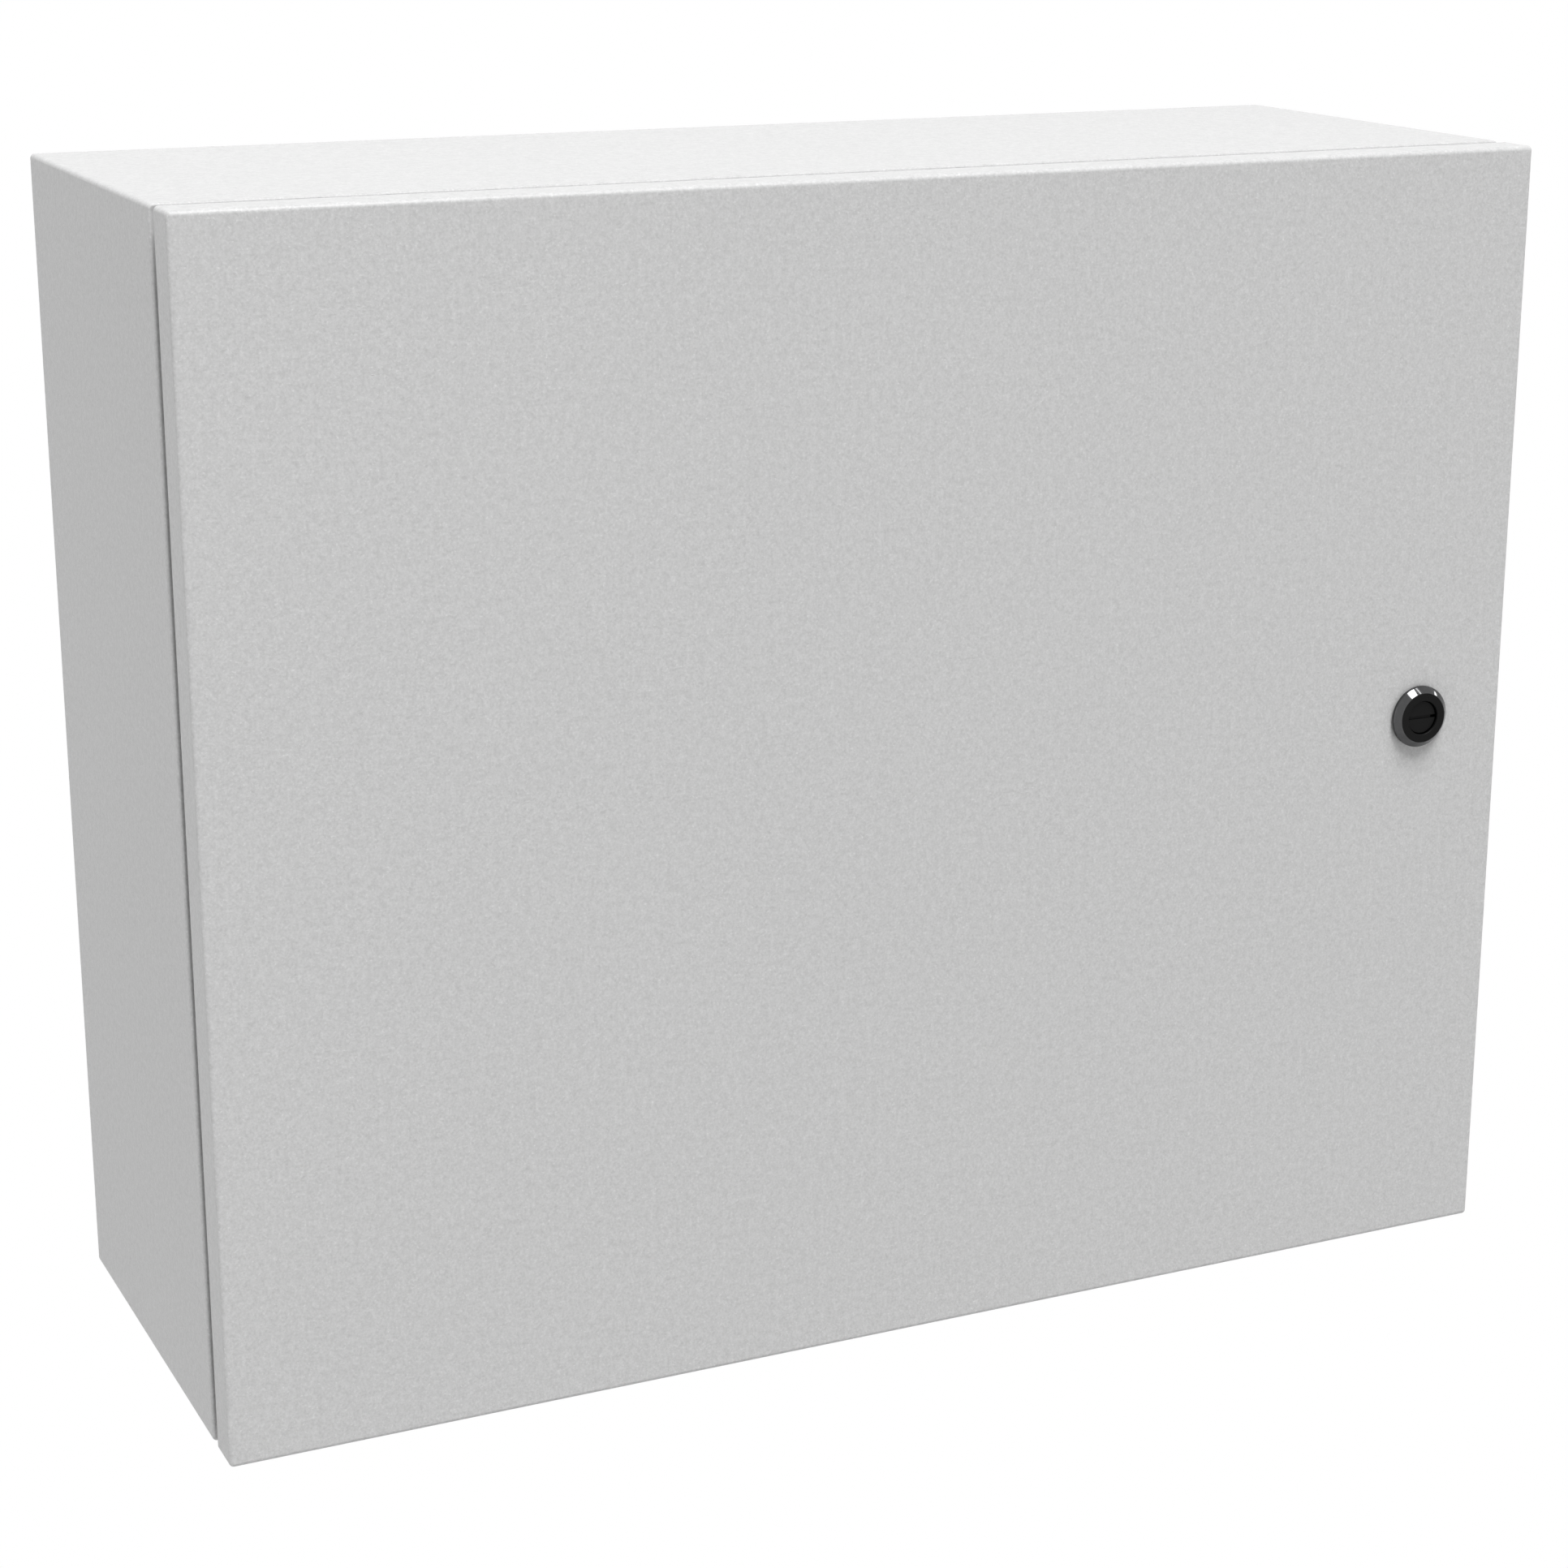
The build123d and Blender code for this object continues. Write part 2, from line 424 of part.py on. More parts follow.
# Concealed hinges: a bracket welded to the collar reaches round behind the gasket to the pin,
# and a leaf welded inside the door turns on the pin between the bracket's two knuckles
for level, hinge_height in HINGE_HEIGHTS.items():
    hinge_base = Plane.XY.offset(hinge_height - HINGE_LENGTH / 2)
    leaf_base = Plane.XY.offset(hinge_height - LEAF_KNUCKLE_LENGTH / 2)
    relief_base = leaf_base.offset(-KNUCKLE_END_GAP)

    with BuildPart() as hinge_bracket:
        with BuildSketch(hinge_base):
            with BuildLine():
                FilletPolyline(
                    (BRACKET_LEG_X, -(BODY_DEPTH + COLLAR_BEND)),
                    (BRACKET_LEG_X, HINGE_Y),
                    (HINGE_X, HINGE_Y),
                    radius=HINGE_BEND,
                )
            trace(line_width=HINGE_SHEET)
            with Locations((HINGE_X, HINGE_Y)):
                Circle(KNUCKLE_RADIUS)
                Circle(PIN_RADIUS + PIN_FIT_CLEARANCE, mode=Mode.SUBTRACT)
        extrude(amount=HINGE_LENGTH)
        with BuildSketch(relief_base):
            with Locations((HINGE_X + BRACKET_RELIEF / 2, HINGE_Y)):
                Rectangle(2 * KNUCKLE_RADIUS + BRACKET_RELIEF, 2 * KNUCKLE_RADIUS)
        extrude(amount=LEAF_KNUCKLE_LENGTH + 2 * KNUCKLE_END_GAP, mode=Mode.SUBTRACT)
    hinge_bracket.part.label = f"hinge_bracket_{level}"
    export_step(hinge_bracket.part, f"parts/hinge_bracket_{level}.step")

    with BuildPart() as hinge_leaf:
        with BuildSketch(leaf_base):
            with BuildLine():
                FilletPolyline(
                    (HINGE_X, HINGE_Y),
                    (HINGE_X, LEAF_FOOT_Y),
                    (HINGE_X + LEAF_FOOT_WIDTH, LEAF_FOOT_Y),
                    radius=HINGE_BEND,
                )
            trace(line_width=HINGE_SHEET)
            with Locations((HINGE_X, HINGE_Y)):
                Circle(KNUCKLE_RADIUS)
                Circle(PIN_RADIUS + PIN_RUNNING_CLEARANCE, mode=Mode.SUBTRACT)
        extrude(amount=LEAF_KNUCKLE_LENGTH)
        with BuildSketch(hinge_base):
            with Locations((HINGE_X + (LEAF_FOOT_WIDTH + HINGE_BEND) / 2, LEAF_FOOT_Y)):
                Rectangle(LEAF_FOOT_WIDTH - HINGE_BEND, HINGE_SHEET)
        extrude(amount=HINGE_LENGTH)
    hinge_leaf.part.label = f"hinge_leaf_{level}"
    export_step(hinge_leaf.part, f"parts/hinge_leaf_{level}.step")

    with BuildPart() as hinge_pin:
        with BuildSketch(hinge_base.offset(-PIN_TAIL)):
            with Locations((HINGE_X, HINGE_Y)):
                Circle(PIN_RADIUS)
        extrude(amount=PIN_TAIL + HINGE_LENGTH)
        with BuildSketch(hinge_base.offset(HINGE_LENGTH)):
            with Locations((HINGE_X, HINGE_Y)):
                Circle(PIN_HEAD_RADIUS)
        extrude(amount=PIN_HEAD_HEIGHT)
        chamfer(hinge_pin.faces().sort_by(Axis.Z)[-1].edges(), PIN_HEAD_HEIGHT / 2)
    hinge_pin.part.label = f"hinge_pin_{level}"
    export_step(hinge_pin.part, f"parts/hinge_pin_{level}.step")

# Door: a shallow tray of folded sheet with a round hole with two flats for the latch
with BuildPart() as door_panel:
    with BuildSketch(Plane.XZ.offset(DOOR_REAR)):
        Rectangle(CABINET_WIDTH, CABINET_HEIGHT)
    extrude(amount=DOOR_DEPTH)
    fillet(door_panel.edges().filter_by(Axis.Y) + door_panel.faces().sort_by(Axis.Y)[0].edges(), DOOR_BEND)
    offset(amount=-DOOR_SHEET, openings=door_panel.faces().sort_by(Axis.Y)[-1])
    with BuildSketch(latch_plane(DOOR_INSIDE)):
        Circle(BARREL_DIAMETER / 2 + BARREL_CLEARANCE)
        Rectangle(BARREL_DIAMETER * 2, BARREL_FLATS + 2 * BARREL_CLEARANCE, mode=Mode.INTERSECT)
    extrude(amount=DOOR_SHEET, mode=Mode.SUBTRACT)
door_panel.part.label = "door_panel"
export_step(door_panel.part, "parts/door_panel.step")

# Foam gasket round the inside of the door, centred on the collar's rim
with BuildPart() as door_gasket:
    with BuildSketch(Plane.XZ.offset(COLLAR_RIM)):
        RectangleRounded(
            OPENING_WIDTH + BODY_SHEET + GASKET_WIDTH,
            OPENING_HEIGHT + BODY_SHEET + GASKET_WIDTH,
            OPENING_CORNER + (BODY_SHEET + GASKET_WIDTH) / 2,
        )
        RectangleRounded(
            OPENING_WIDTH + BODY_SHEET - GASKET_WIDTH,
            OPENING_HEIGHT + BODY_SHEET - GASKET_WIDTH,
            OPENING_CORNER + (BODY_SHEET - GASKET_WIDTH) / 2,
            mode=Mode.SUBTRACT,
        )
    extrude(amount=DOOR_INSIDE - COLLAR_RIM)
    chamfer(door_gasket.faces().sort_by(Axis.Y)[-1].edges(), GASKET_BEVEL)
door_gasket.part.label = "door_gasket"
export_step(door_gasket.part, "parts/door_gasket.step")

# Door rails: perforated channels welded upright inside the door
for side, rail_x in RAIL_PLACES.items():
    with BuildPart() as door_rail:
        with BuildSketch(Plane(origin=(rail_x, -DOOR_INSIDE, -RAIL_LENGTH / 2), z_dir=(0, 0, 1))):
            with BuildLine():
                FilletPolyline(
                    (-RAIL_MIDDLE_X, 0),
                    (-RAIL_MIDDLE_X, RAIL_MIDDLE_Y),
                    (RAIL_MIDDLE_X, RAIL_MIDDLE_Y),
                    (RAIL_MIDDLE_X, 0),
                    radius=RAIL_BEND,
                )
            trace(line_width=RAIL_SHEET)
        extrude(amount=RAIL_LENGTH)
        with BuildSketch(Plane(origin=(rail_x, -(DOOR_INSIDE - RAIL_HEIGHT), 0), z_dir=(0, -1, 0))):
            with GridLocations(RAIL_HOLE_PITCH, RAIL_HOLE_PITCH, 1, RAIL_HOLE_COUNT):
                Circle(RAIL_HOLE_DIAMETER / 2)
        extrude(amount=RAIL_SHEET, mode=Mode.SUBTRACT)
    door_rail.part.label = f"door_rail_{side}"
    export_step(door_rail.part, f"parts/door_rail_{side}.step")

# Latch housing: a bezel with a sloped side, a pocket for the face ring and a barrel with two flats
with BuildPart() as latch_housing:
    with BuildSketch(LATCH_SECTION):
        with BuildLine():
            Polyline(
                (ROTOR_SHAFT_DIAMETER / 2 + ROTOR_CLEARANCE, BARREL_REAR),
                (BARREL_DIAMETER / 2, BARREL_REAR),
                (BARREL_DIAMETER / 2, BEZEL_REAR),
                (BEZEL_DIAMETER / 2, BEZEL_REAR),
                (BEZEL_DIAMETER / 2, BEZEL_REAR + BEZEL_RIM),
                (BEZEL_FRONT_DIAMETER / 2, BEZEL_FRONT),
                (FACE_RING_DIAMETER / 2 + FACE_RING_CLEARANCE, BEZEL_FRONT),
                (FACE_RING_DIAMETER / 2 + FACE_RING_CLEARANCE, ROTOR_FRONT),
                (ROTOR_DIAMETER / 2 + ROTOR_CLEARANCE, ROTOR_FRONT),
                (ROTOR_DIAMETER / 2 + ROTOR_CLEARANCE, ROTOR_SHOULDER),
                (ROTOR_SHAFT_DIAMETER / 2 + ROTOR_CLEARANCE, ROTOR_SHOULDER),
                close=True,
            )
        make_face()
    revolve(axis=LATCH_AXIS)
    with BuildSketch(latch_plane(BARREL_REAR)):
        Rectangle(BARREL_DIAMETER * 2, BARREL_DIAMETER * 2)
        Rectangle(BARREL_DIAMETER * 2, BARREL_FLATS, mode=Mode.SUBTRACT)
    extrude(amount=BEZEL_REAR - BARREL_REAR, mode=Mode.SUBTRACT)
latch_housing.part.label = "latch_housing"
export_step(latch_housing.part, "parts/latch_housing.step")

with BuildPart() as latch_seal:
    with BuildSketch(latch_plane(DOOR_FRONT)):
        Circle(LATCH_SEAL_DIAMETER / 2)
        Circle(BARREL_DIAMETER / 2 + BARREL_CLEARANCE, mode=Mode.SUBTRACT)
    extrude(amount=LATCH_SEAL_SHEET)
latch_seal.part.label = "latch_seal"
export_step(latch_seal.part, "parts/latch_seal.step")

with BuildPart() as latch_face_ring:
    with BuildSketch(latch_plane(ROTOR_FRONT)):
        Circle(FACE_RING_DIAMETER / 2)
        Circle(FACE_RING_HOLE / 2, mode=Mode.SUBTRACT)
    extrude(amount=FACE_RING_HEIGHT)
latch_face_ring.part.label = "latch_face_ring"
export_step(latch_face_ring.part, "parts/latch_face_ring.step")

# Nut behind the door, turned so that a flat faces the gasket
with BuildPart() as latch_nut:
    with BuildSketch(latch_plane(DOOR_INSIDE - LATCH_NUT_HEIGHT)):
        RegularPolygon(LATCH_NUT_ACROSS / 2, 6, major_radius=False, rotation=LATCH_NUT_TURN)
        Circle(BARREL_DIAMETER / 2 + THREAD_CLEARANCE, mode=Mode.SUBTRACT)
    extrude(amount=LATCH_NUT_HEIGHT)
latch_nut.part.label = "latch_nut"
export_step(latch_nut.part, "parts/latch_nut.step")

# Rotor: slotted head with a seal groove, shaft with a circlip groove, and a square that drives the cam
with BuildPart() as latch_rotor:
    with BuildSketch(LATCH_SECTION):
        with BuildLine():
            Polyline(
                (0, CAM_FRONT),
                (ROTOR_SHAFT_DIAMETER / 2, CAM_FRONT),
                (ROTOR_SHAFT_DIAMETER / 2, CIRCLIP_REAR - CIRCLIP_CLEARANCE),
                (CIRCLIP_GROOVE_DIAMETER / 2, CIRCLIP_REAR - CIRCLIP_CLEARANCE),
                (CIRCLIP_GROOVE_DIAMETER / 2, CIRCLIP_FRONT + CIRCLIP_CLEARANCE),
                (ROTOR_SHAFT_DIAMETER / 2, CIRCLIP_FRONT + CIRCLIP_CLEARANCE),
                (ROTOR_SHAFT_DIAMETER / 2, ROTOR_SHOULDER + ROTOR_CLEARANCE),
                (ROTOR_DIAMETER / 2, ROTOR_SHOULDER + ROTOR_CLEARANCE),
                (ROTOR_DIAMETER / 2, SEAL_GROOVE_FRONT - SEAL_GROOVE_WIDTH),
                (SEAL_GROOVE_RADIUS, SEAL_GROOVE_FRONT - SEAL_GROOVE_WIDTH),
                (SEAL_GROOVE_RADIUS, SEAL_GROOVE_FRONT),
                (ROTOR_DIAMETER / 2, SEAL_GROOVE_FRONT),
                (ROTOR_DIAMETER / 2, ROTOR_FRONT - ROTOR_EDGE),
                (ROTOR_DIAMETER / 2 - ROTOR_EDGE, ROTOR_FRONT),
                (0, ROTOR_FRONT),
                close=True,
            )
        make_face()
    revolve(axis=LATCH_AXIS)
    with BuildSketch(latch_plane(CAM_REAR + ROTOR_SQUARE_GAP)):
        Rectangle(ROTOR_SQUARE, ROTOR_SQUARE)
    extrude(amount=CAM_SHEET - ROTOR_SQUARE_GAP)
    with BuildSketch(latch_plane(ROTOR_FRONT - SLOT_DEPTH)):
        Rectangle(2 * ROTOR_DIAMETER, SLOT_WIDTH)
    extrude(amount=SLOT_DEPTH, mode=Mode.SUBTRACT)
    with BuildSketch(latch_plane(ROTOR_FRONT - SLOT_MARK_DEPTH)):
        with Locations((ROTOR_DIAMETER / 2 - SLOT_MARK_LENGTH, 0)):
            Rectangle(2 * SLOT_MARK_LENGTH, SLOT_WIDTH, align=(Align.MIN, Align.CENTER))
    extrude(amount=SLOT_MARK_DEPTH, mode=Mode.SUBTRACT)
    with BuildSketch(latch_plane(CAM_REAR)):
        Circle(CAM_SCREW_DIAMETER / 2 + THREAD_CLEARANCE)
    extrude(amount=CAM_SCREW_LENGTH + CUT_OVERRUN, mode=Mode.SUBTRACT)
latch_rotor.part.label = "latch_rotor"
export_step(latch_rotor.part, "parts/latch_rotor.step")

# Square-section seal ring in the rotor's groove
with BuildPart() as rotor_seal:
    with BuildSketch(latch_plane(SEAL_GROOVE_FRONT - (SEAL_GROOVE_WIDTH + SEAL_RING_SECTION) / 2)):
        Circle(SEAL_GROOVE_RADIUS + SEAL_RING_SECTION)
        Circle(SEAL_GROOVE_RADIUS, mode=Mode.SUBTRACT)
    extrude(amount=SEAL_RING_SECTION)
rotor_seal.part.label = "rotor_seal"
export_step(rotor_seal.part, "parts/rotor_seal.step")

# Circlip behind the barrel keeps the rotor in the housing
with BuildPart() as rotor_circlip:
    with BuildSketch(latch_plane(CIRCLIP_REAR)):
        Circle(CIRCLIP_DIAMETER / 2)
        Circle(CIRCLIP_GROOVE_DIAMETER / 2 + THREAD_CLEARANCE, mode=Mode.SUBTRACT)
        with Locations((0, CIRCLIP_DIAMETER / 2)):
            Rectangle(CIRCLIP_MOUTH, CIRCLIP_DIAMETER, mode=Mode.SUBTRACT)
    extrude(amount=CIRCLIP_SHEET)
rotor_circlip.part.label = "rotor_circlip"
export_step(rotor_circlip.part, "parts/rotor_circlip.step")

# Cam: hangs down when the latch is open and turns behind the lip when it is shut
with BuildPart() as latch_cam:
    with BuildSketch(latch_plane(CAM_REAR)) as cam_outline:
        with Locations((0, -CAM_LENGTH / 2)):
            Rectangle(CAM_WIDTH, CAM_LENGTH)
        fillet(cam_outline.vertices().group_by(Axis.Y)[0], CAM_TIP_ROUND)
        Circle(CAM_HUB_RADIUS)
        Rectangle(
            ROTOR_SQUARE + 2 * CAM_SQUARE_CLEARANCE,
            ROTOR_SQUARE + 2 * CAM_SQUARE_CLEARANCE,
            mode=Mode.SUBTRACT,
        )
    extrude(amount=CAM_SHEET)
latch_cam.part.label = "latch_cam"
export_step(latch_cam.part, "parts/latch_cam.step")

with BuildPart() as cam_washer:
    with BuildSketch(latch_plane(CAM_WASHER_REAR)):
        Circle(CAM_WASHER_DIAMETER / 2)
        Circle(CAM_SCREW_DIAMETER / 2 + BOLT_HOLE_CLEARANCE, mode=Mode.SUBTRACT)
    extrude(amount=CAM_WASHER_SHEET)
cam_washer.part.label = "cam_washer"
export_step(cam_washer.part, "parts/cam_washer.step")

with BuildPart() as cam_screw:
    with BuildSketch(latch_plane(CAM_WASHER_REAR - CAM_SCREW_HEAD)):
        hexagon(CAM_SCREW_ACROSS)
    extrude(amount=CAM_SCREW_HEAD)
    with BuildSketch(latch_plane(CAM_WASHER_REAR)):
        Circle(CAM_SCREW_DIAMETER / 2)
    extrude(amount=CAM_WASHER_SHEET + CAM_SCREW_LENGTH)
cam_screw.part.label = "cam_screw"
export_step(cam_screw.part, "parts/cam_screw.step")
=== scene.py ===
"""The finished look of a wall-mount controller cabinet: coats, plating, threads, welds and seals."""

import json
import math

import bmesh
import bpy
from mathutils import Matrix, Vector


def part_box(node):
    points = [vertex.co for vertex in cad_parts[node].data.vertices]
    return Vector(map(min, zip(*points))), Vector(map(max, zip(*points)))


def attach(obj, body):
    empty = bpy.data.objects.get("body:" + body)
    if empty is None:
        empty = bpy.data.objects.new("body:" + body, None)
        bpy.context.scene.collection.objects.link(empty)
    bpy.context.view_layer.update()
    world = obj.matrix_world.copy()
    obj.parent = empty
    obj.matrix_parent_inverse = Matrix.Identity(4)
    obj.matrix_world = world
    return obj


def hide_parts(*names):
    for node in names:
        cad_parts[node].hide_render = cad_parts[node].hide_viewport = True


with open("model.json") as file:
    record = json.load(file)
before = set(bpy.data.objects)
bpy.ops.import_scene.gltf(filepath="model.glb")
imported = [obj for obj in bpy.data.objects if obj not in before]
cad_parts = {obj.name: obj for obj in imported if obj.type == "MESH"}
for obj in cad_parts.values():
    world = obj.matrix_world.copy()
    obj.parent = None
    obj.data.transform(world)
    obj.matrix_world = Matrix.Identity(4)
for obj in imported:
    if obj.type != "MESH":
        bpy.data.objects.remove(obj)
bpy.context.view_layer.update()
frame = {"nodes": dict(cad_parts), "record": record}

MM = 0.001
FULL_TURN = 2 * math.pi
QUARTER_TURN = math.pi / 2
RIGHT = (1, 0, 0)
UP = (0, 0, 1)
FRONT = (0, -1, 0)
BACK = (0, 1, 0)

# Places read from the frame, with the cabinet hung above the floor
CABINET_LOW, CABINET_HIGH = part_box("cabinet_body")
WALL_MOUNT_HEIGHT = 0.90
FLOOR_HEIGHT = CABINET_LOW.z - WALL_MOUNT_HEIGHT

# Camera, fitted to the photograph
CAMERA_PLACE = Vector((-0.60276, -1.41117, 0.39280))
CAMERA_FORWARD = Vector((0.41180, 0.86622, -0.28298))
CAMERA_UP = Vector((0.11767, 0.25738, 0.95912))
CAMERA_SENSOR = 36.0
CAMERA_LENS = 76.685
CAMERA_SHIFT = (-0.0272, -0.0002)

# Stage
FLOOR_REACH = 30.0
FLOOR_SHADE = 0.60
FLOOR_FADE_LEAST = 0.35
FLOOR_FADE_START = 0.40
FLOOR_FADE_END = 1.00
AMBIENT_SHADE = 0.24
WHITE = (1.0, 1.0, 1.0, 1.0)

# Shades, colours and least roughness of the finishes
COAT_SHADE = 0.565
SATIN_BLACK_SHADE = 0.0048
PLASTIC_ROUGHNESS = 0.38
CASTING_ROUGHNESS = 0.34
ZINC_COOL = (0.44, 0.45, 0.48, 1.0)
ZINC_WARM = (0.58, 0.575, 0.56, 1.0)
COPPER = (0.58, 0.33, 0.20, 1.0)
WORN_STEEL = (0.55, 0.50, 0.45, 1.0)
CHROME_DARK = (0.070, 0.071, 0.073, 1.0)
CHROME_PALE = (0.095, 0.095, 0.096, 1.0)

# Joining, easing and shading of copied faces
JOIN_REACH = 0.002 * MM
FLAT_ANGLE = math.radians(0.2)
SHARP_ANGLE = math.radians(35)
EASE_SEGMENTS = 2

# Screw threads: pitch and depth of the profile
M8_PITCH = 1.25 * MM
M5_PITCH = 0.8 * MM
BARREL_PITCH = 1.0 * MM
THREAD_DEPTH_SHARE = 0.61
THREAD_ROWS_PER_PITCH = 4
THREAD_SEGMENTS = 24
THREAD_TIP = 0.8 * MM

# Nuts and washers
NUT_SEGMENTS = 48
NUT_CROWN_SHARE = 0.95
NUT_CHAMFER = math.tan(math.radians(30))
M8_ACROSS = 13.0 * MM
M8_BORE = 6.8 * MM
M8_SINK = 0.35 * MM
M5_ACROSS = 8.0 * MM
M5_BORE = 4.3 * MM
M5_FLANGE_RIM = 0.5 * MM
M5_FLANGE_HEIGHT = 1.2 * MM
LATCH_NUT_ACROSS = 26.0 * MM
LATCH_NUT_BORE = 21.2 * MM
CAM_SCREW_ACROSS = 10.0 * MM
WASHER_BORE = 9.0 * MM
WASHER_EASE = 0.2 * MM
SPACER_BORE = 9.0 * MM
SPACER_EASE = 0.5 * MM

# Latch
BEZEL_SEGMENTS = 96
BEZEL_RIM = 1.6 * MM
BEZEL_EASE = 0.25 * MM
BEZEL_FRONT_RADIUS = 11.5 * MM
BARREL_RADIUS = 11.0 * MM
BARREL_FLATS = 20.0 * MM
FACE_POCKET_RADIUS = 11.25 * MM
ROTOR_BORE_RADIUS = 7.7 * MM
SHAFT_BORE_RADIUS = 6.1 * MM
FACE_RING_HOLE = 15.4 * MM
FACE_EASE = 0.15 * MM
SEAL_BORE = 22.5 * MM
SEAL_EASE = 0.2 * MM
ROTOR_SHOULDER_PLACE = -213.2 * MM
CAM_SCREW_RADIUS = 3.0 * MM
CAM_SCREW_HEAD = 4.0 * MM
CAM_WASHER_BORE = 7.0 * MM

# Hinges: the pins, and the foot of the leaves
PIN_RADIUS = 2.5 * MM
PIN_HEAD = 1.5 * MM
PIN_EASE = 0.4 * MM
PIN_DOME_STEPS = 6
LEAF_FOOT = 4.0 * MM

# Foam gasket, with the waves of its height: the turn for each point of the path, and the start
GASKET_WIDTH = 12.0 * MM
GASKET_CORNER = 12.75 * MM
GASKET_PRINT_WIDTH = 2.4 * MM
GASKET_PRINT_DEPTH = 0.9 * MM
GASKET_WAVER = 0.25 * MM
GASKET_WAVES = ((0.37, 0.0), (0.113, 1.0))
GASKET_STEP = 5.0 * MM
GASKET_CORNER_STEPS = 10
GASKET_CROWN_STEPS = 6

# Rows of holes in the door rails, above and below the middle hole
RAIL_HOLE_RADIUS = 2.25 * MM
RAIL_HOLE_PITCH = 25.0 * MM
RAIL_HOLE_PAIRS = 7
RAIL_PEG_REACH = 3.0 * MM
RAIL_PEG_SEGMENTS = 32

# Welds: beads of overlapping drops, with the drops' length and width as shares of a round drop
WELD_RADIUS = 1.5 * MM
WELD_PITCH = 1.3 * MM
WELD_DROP_LENGTH = 0.75
WELD_DROP_LEAST_WIDTH = 0.85
WELD_DROP_MOST_WIDTH = 1.1
WELD_DROP_SEGMENTS = 10
WELD_DROP_RINGS = 6
WELD_SEED = 7
BRACKET_WELD_REAR_GAP = WELD_RADIUS
BRACKET_WELD_FRONT_GAP = 3 * WELD_RADIUS
RAIL_WELD_LENGTH = 14.0 * MM

# Front fold of the body: the solid's edge, and the radius that the photograph shows
LIP_PLACE = -195.5 * MM
BODY_BEND = 2.0 * MM
BODY_RIM_EDGE = 0.5 * MM
BODY_FOLD = 1.2 * MM
FOLD_REACH = 0.01 * MM

# Eased edges of pieces that stay as they are cut
SHEET_EASE = 0.25 * MM
CAM_EASE = 0.4 * MM
FINE_EASE = 0.12 * MM
EASED_NODES = {
    "mounting_plate": SHEET_EASE,
    "gland_plate": SHEET_EASE,
    "gland_gasket": SHEET_EASE,
    "hinge_bracket_upper": SHEET_EASE,
    "hinge_bracket_lower": SHEET_EASE,
    "hinge_leaf_upper": SHEET_EASE,
    "hinge_leaf_lower": SHEET_EASE,
    "latch_cam": CAM_EASE,
    "latch_rotor": FINE_EASE,
    "rotor_circlip": FINE_EASE,
}

# Soft lights: name, place, target, width, height, radiance
SOFTBOXES = (
    ("overhead_key", (0.25, -3.35, 7.33), (0.05, -0.15, 0.0), 2.9, 3.6, 21.6),
    ("overhead_strip", (2.95, -2.97, 6.88), (0.05, -0.15, 0.0), 0.5, 2.6, 8.0),
    ("overhead_back", (-0.90, 0.90, 1.90), (0.0, -0.10, 0.25), 0.9, 0.9, 2.3),
    ("left_fill", (-2.34, -0.51, 0.10), (0.0, -0.15, 0.0), 2.2, 2.2, 0.79),
    ("front_fill", (-0.30, -3.80, -0.30), (0.0, -0.22, 0.0), 2.0, 2.0, 0.6),
    ("back_fill", (0.60, 3.40, -0.46), (0.0, 0.0, -0.30), 2.0, 1.3, 3.4),
    ("right_rim", (2.32, -0.10, 0.74), (0.25, -0.22, 0.0), 0.25, 0.25, 12.0),
)


class Link:
    """An output socket of a node tree that can stand in a formula."""

    def __init__(self, graph, socket):
        self.graph = graph
        self.socket = socket

    def __add__(self, other):
        return self.graph.maths("ADD", self, other)

    def __radd__(self, other):
        return self.graph.maths("ADD", other, self)

    def __sub__(self, other):
        return self.graph.maths("SUBTRACT", self, other)

    def __mul__(self, other):
        return self.graph.maths("MULTIPLY", self, other)

    def __rmul__(self, other):
        return self.graph.maths("MULTIPLY", other, self)

    def __truediv__(self, other):
        return self.graph.maths("DIVIDE", self, other)


class Graph:
    """A node tree under construction."""

    def __init__(self, tree):
        self.tree = tree

    def node(self, kind, settings=None, inputs=None):
        """Add a node: its settings first, then the values or links of its sockets."""
        made = self.tree.nodes.new(kind)
        for name, value in (settings or {}).items():
            if name == "stops":
                self.set_stops(made.color_ramp, value)
            else:
                setattr(made, name, value)
        for name, value in (inputs or {}).items():
            self.feed(made.inputs[name], value)
        return made

    def feed(self, socket, value):
        """Give a socket a value, or a link from another node."""
        if isinstance(value, Link):
            self.tree.links.new(value.socket, socket)
        else:
            socket.default_value = value

    def set_stops(self, ramp, stops):
        """Set the stops of a colour ramp from (position, shade) pairs."""
        while len(ramp.elements) < len(stops):
            ramp.elements.new(1.0)
        for element, (position, shade) in zip(ramp.elements, stops):
            element.position = position
            element.color = (shade, shade, shade, 1.0)

    def out(self, kind, output, settings=None, inputs=None):
        """Add a node and give one of its outputs."""
        return Link(self, self.node(kind, settings, inputs).outputs[output])

    def maths(self, operation, *values):
        """Add a Math node on numbers or links."""
        return self.out("ShaderNodeMath", 0, {"operation": operation}, dict(enumerate(values)))


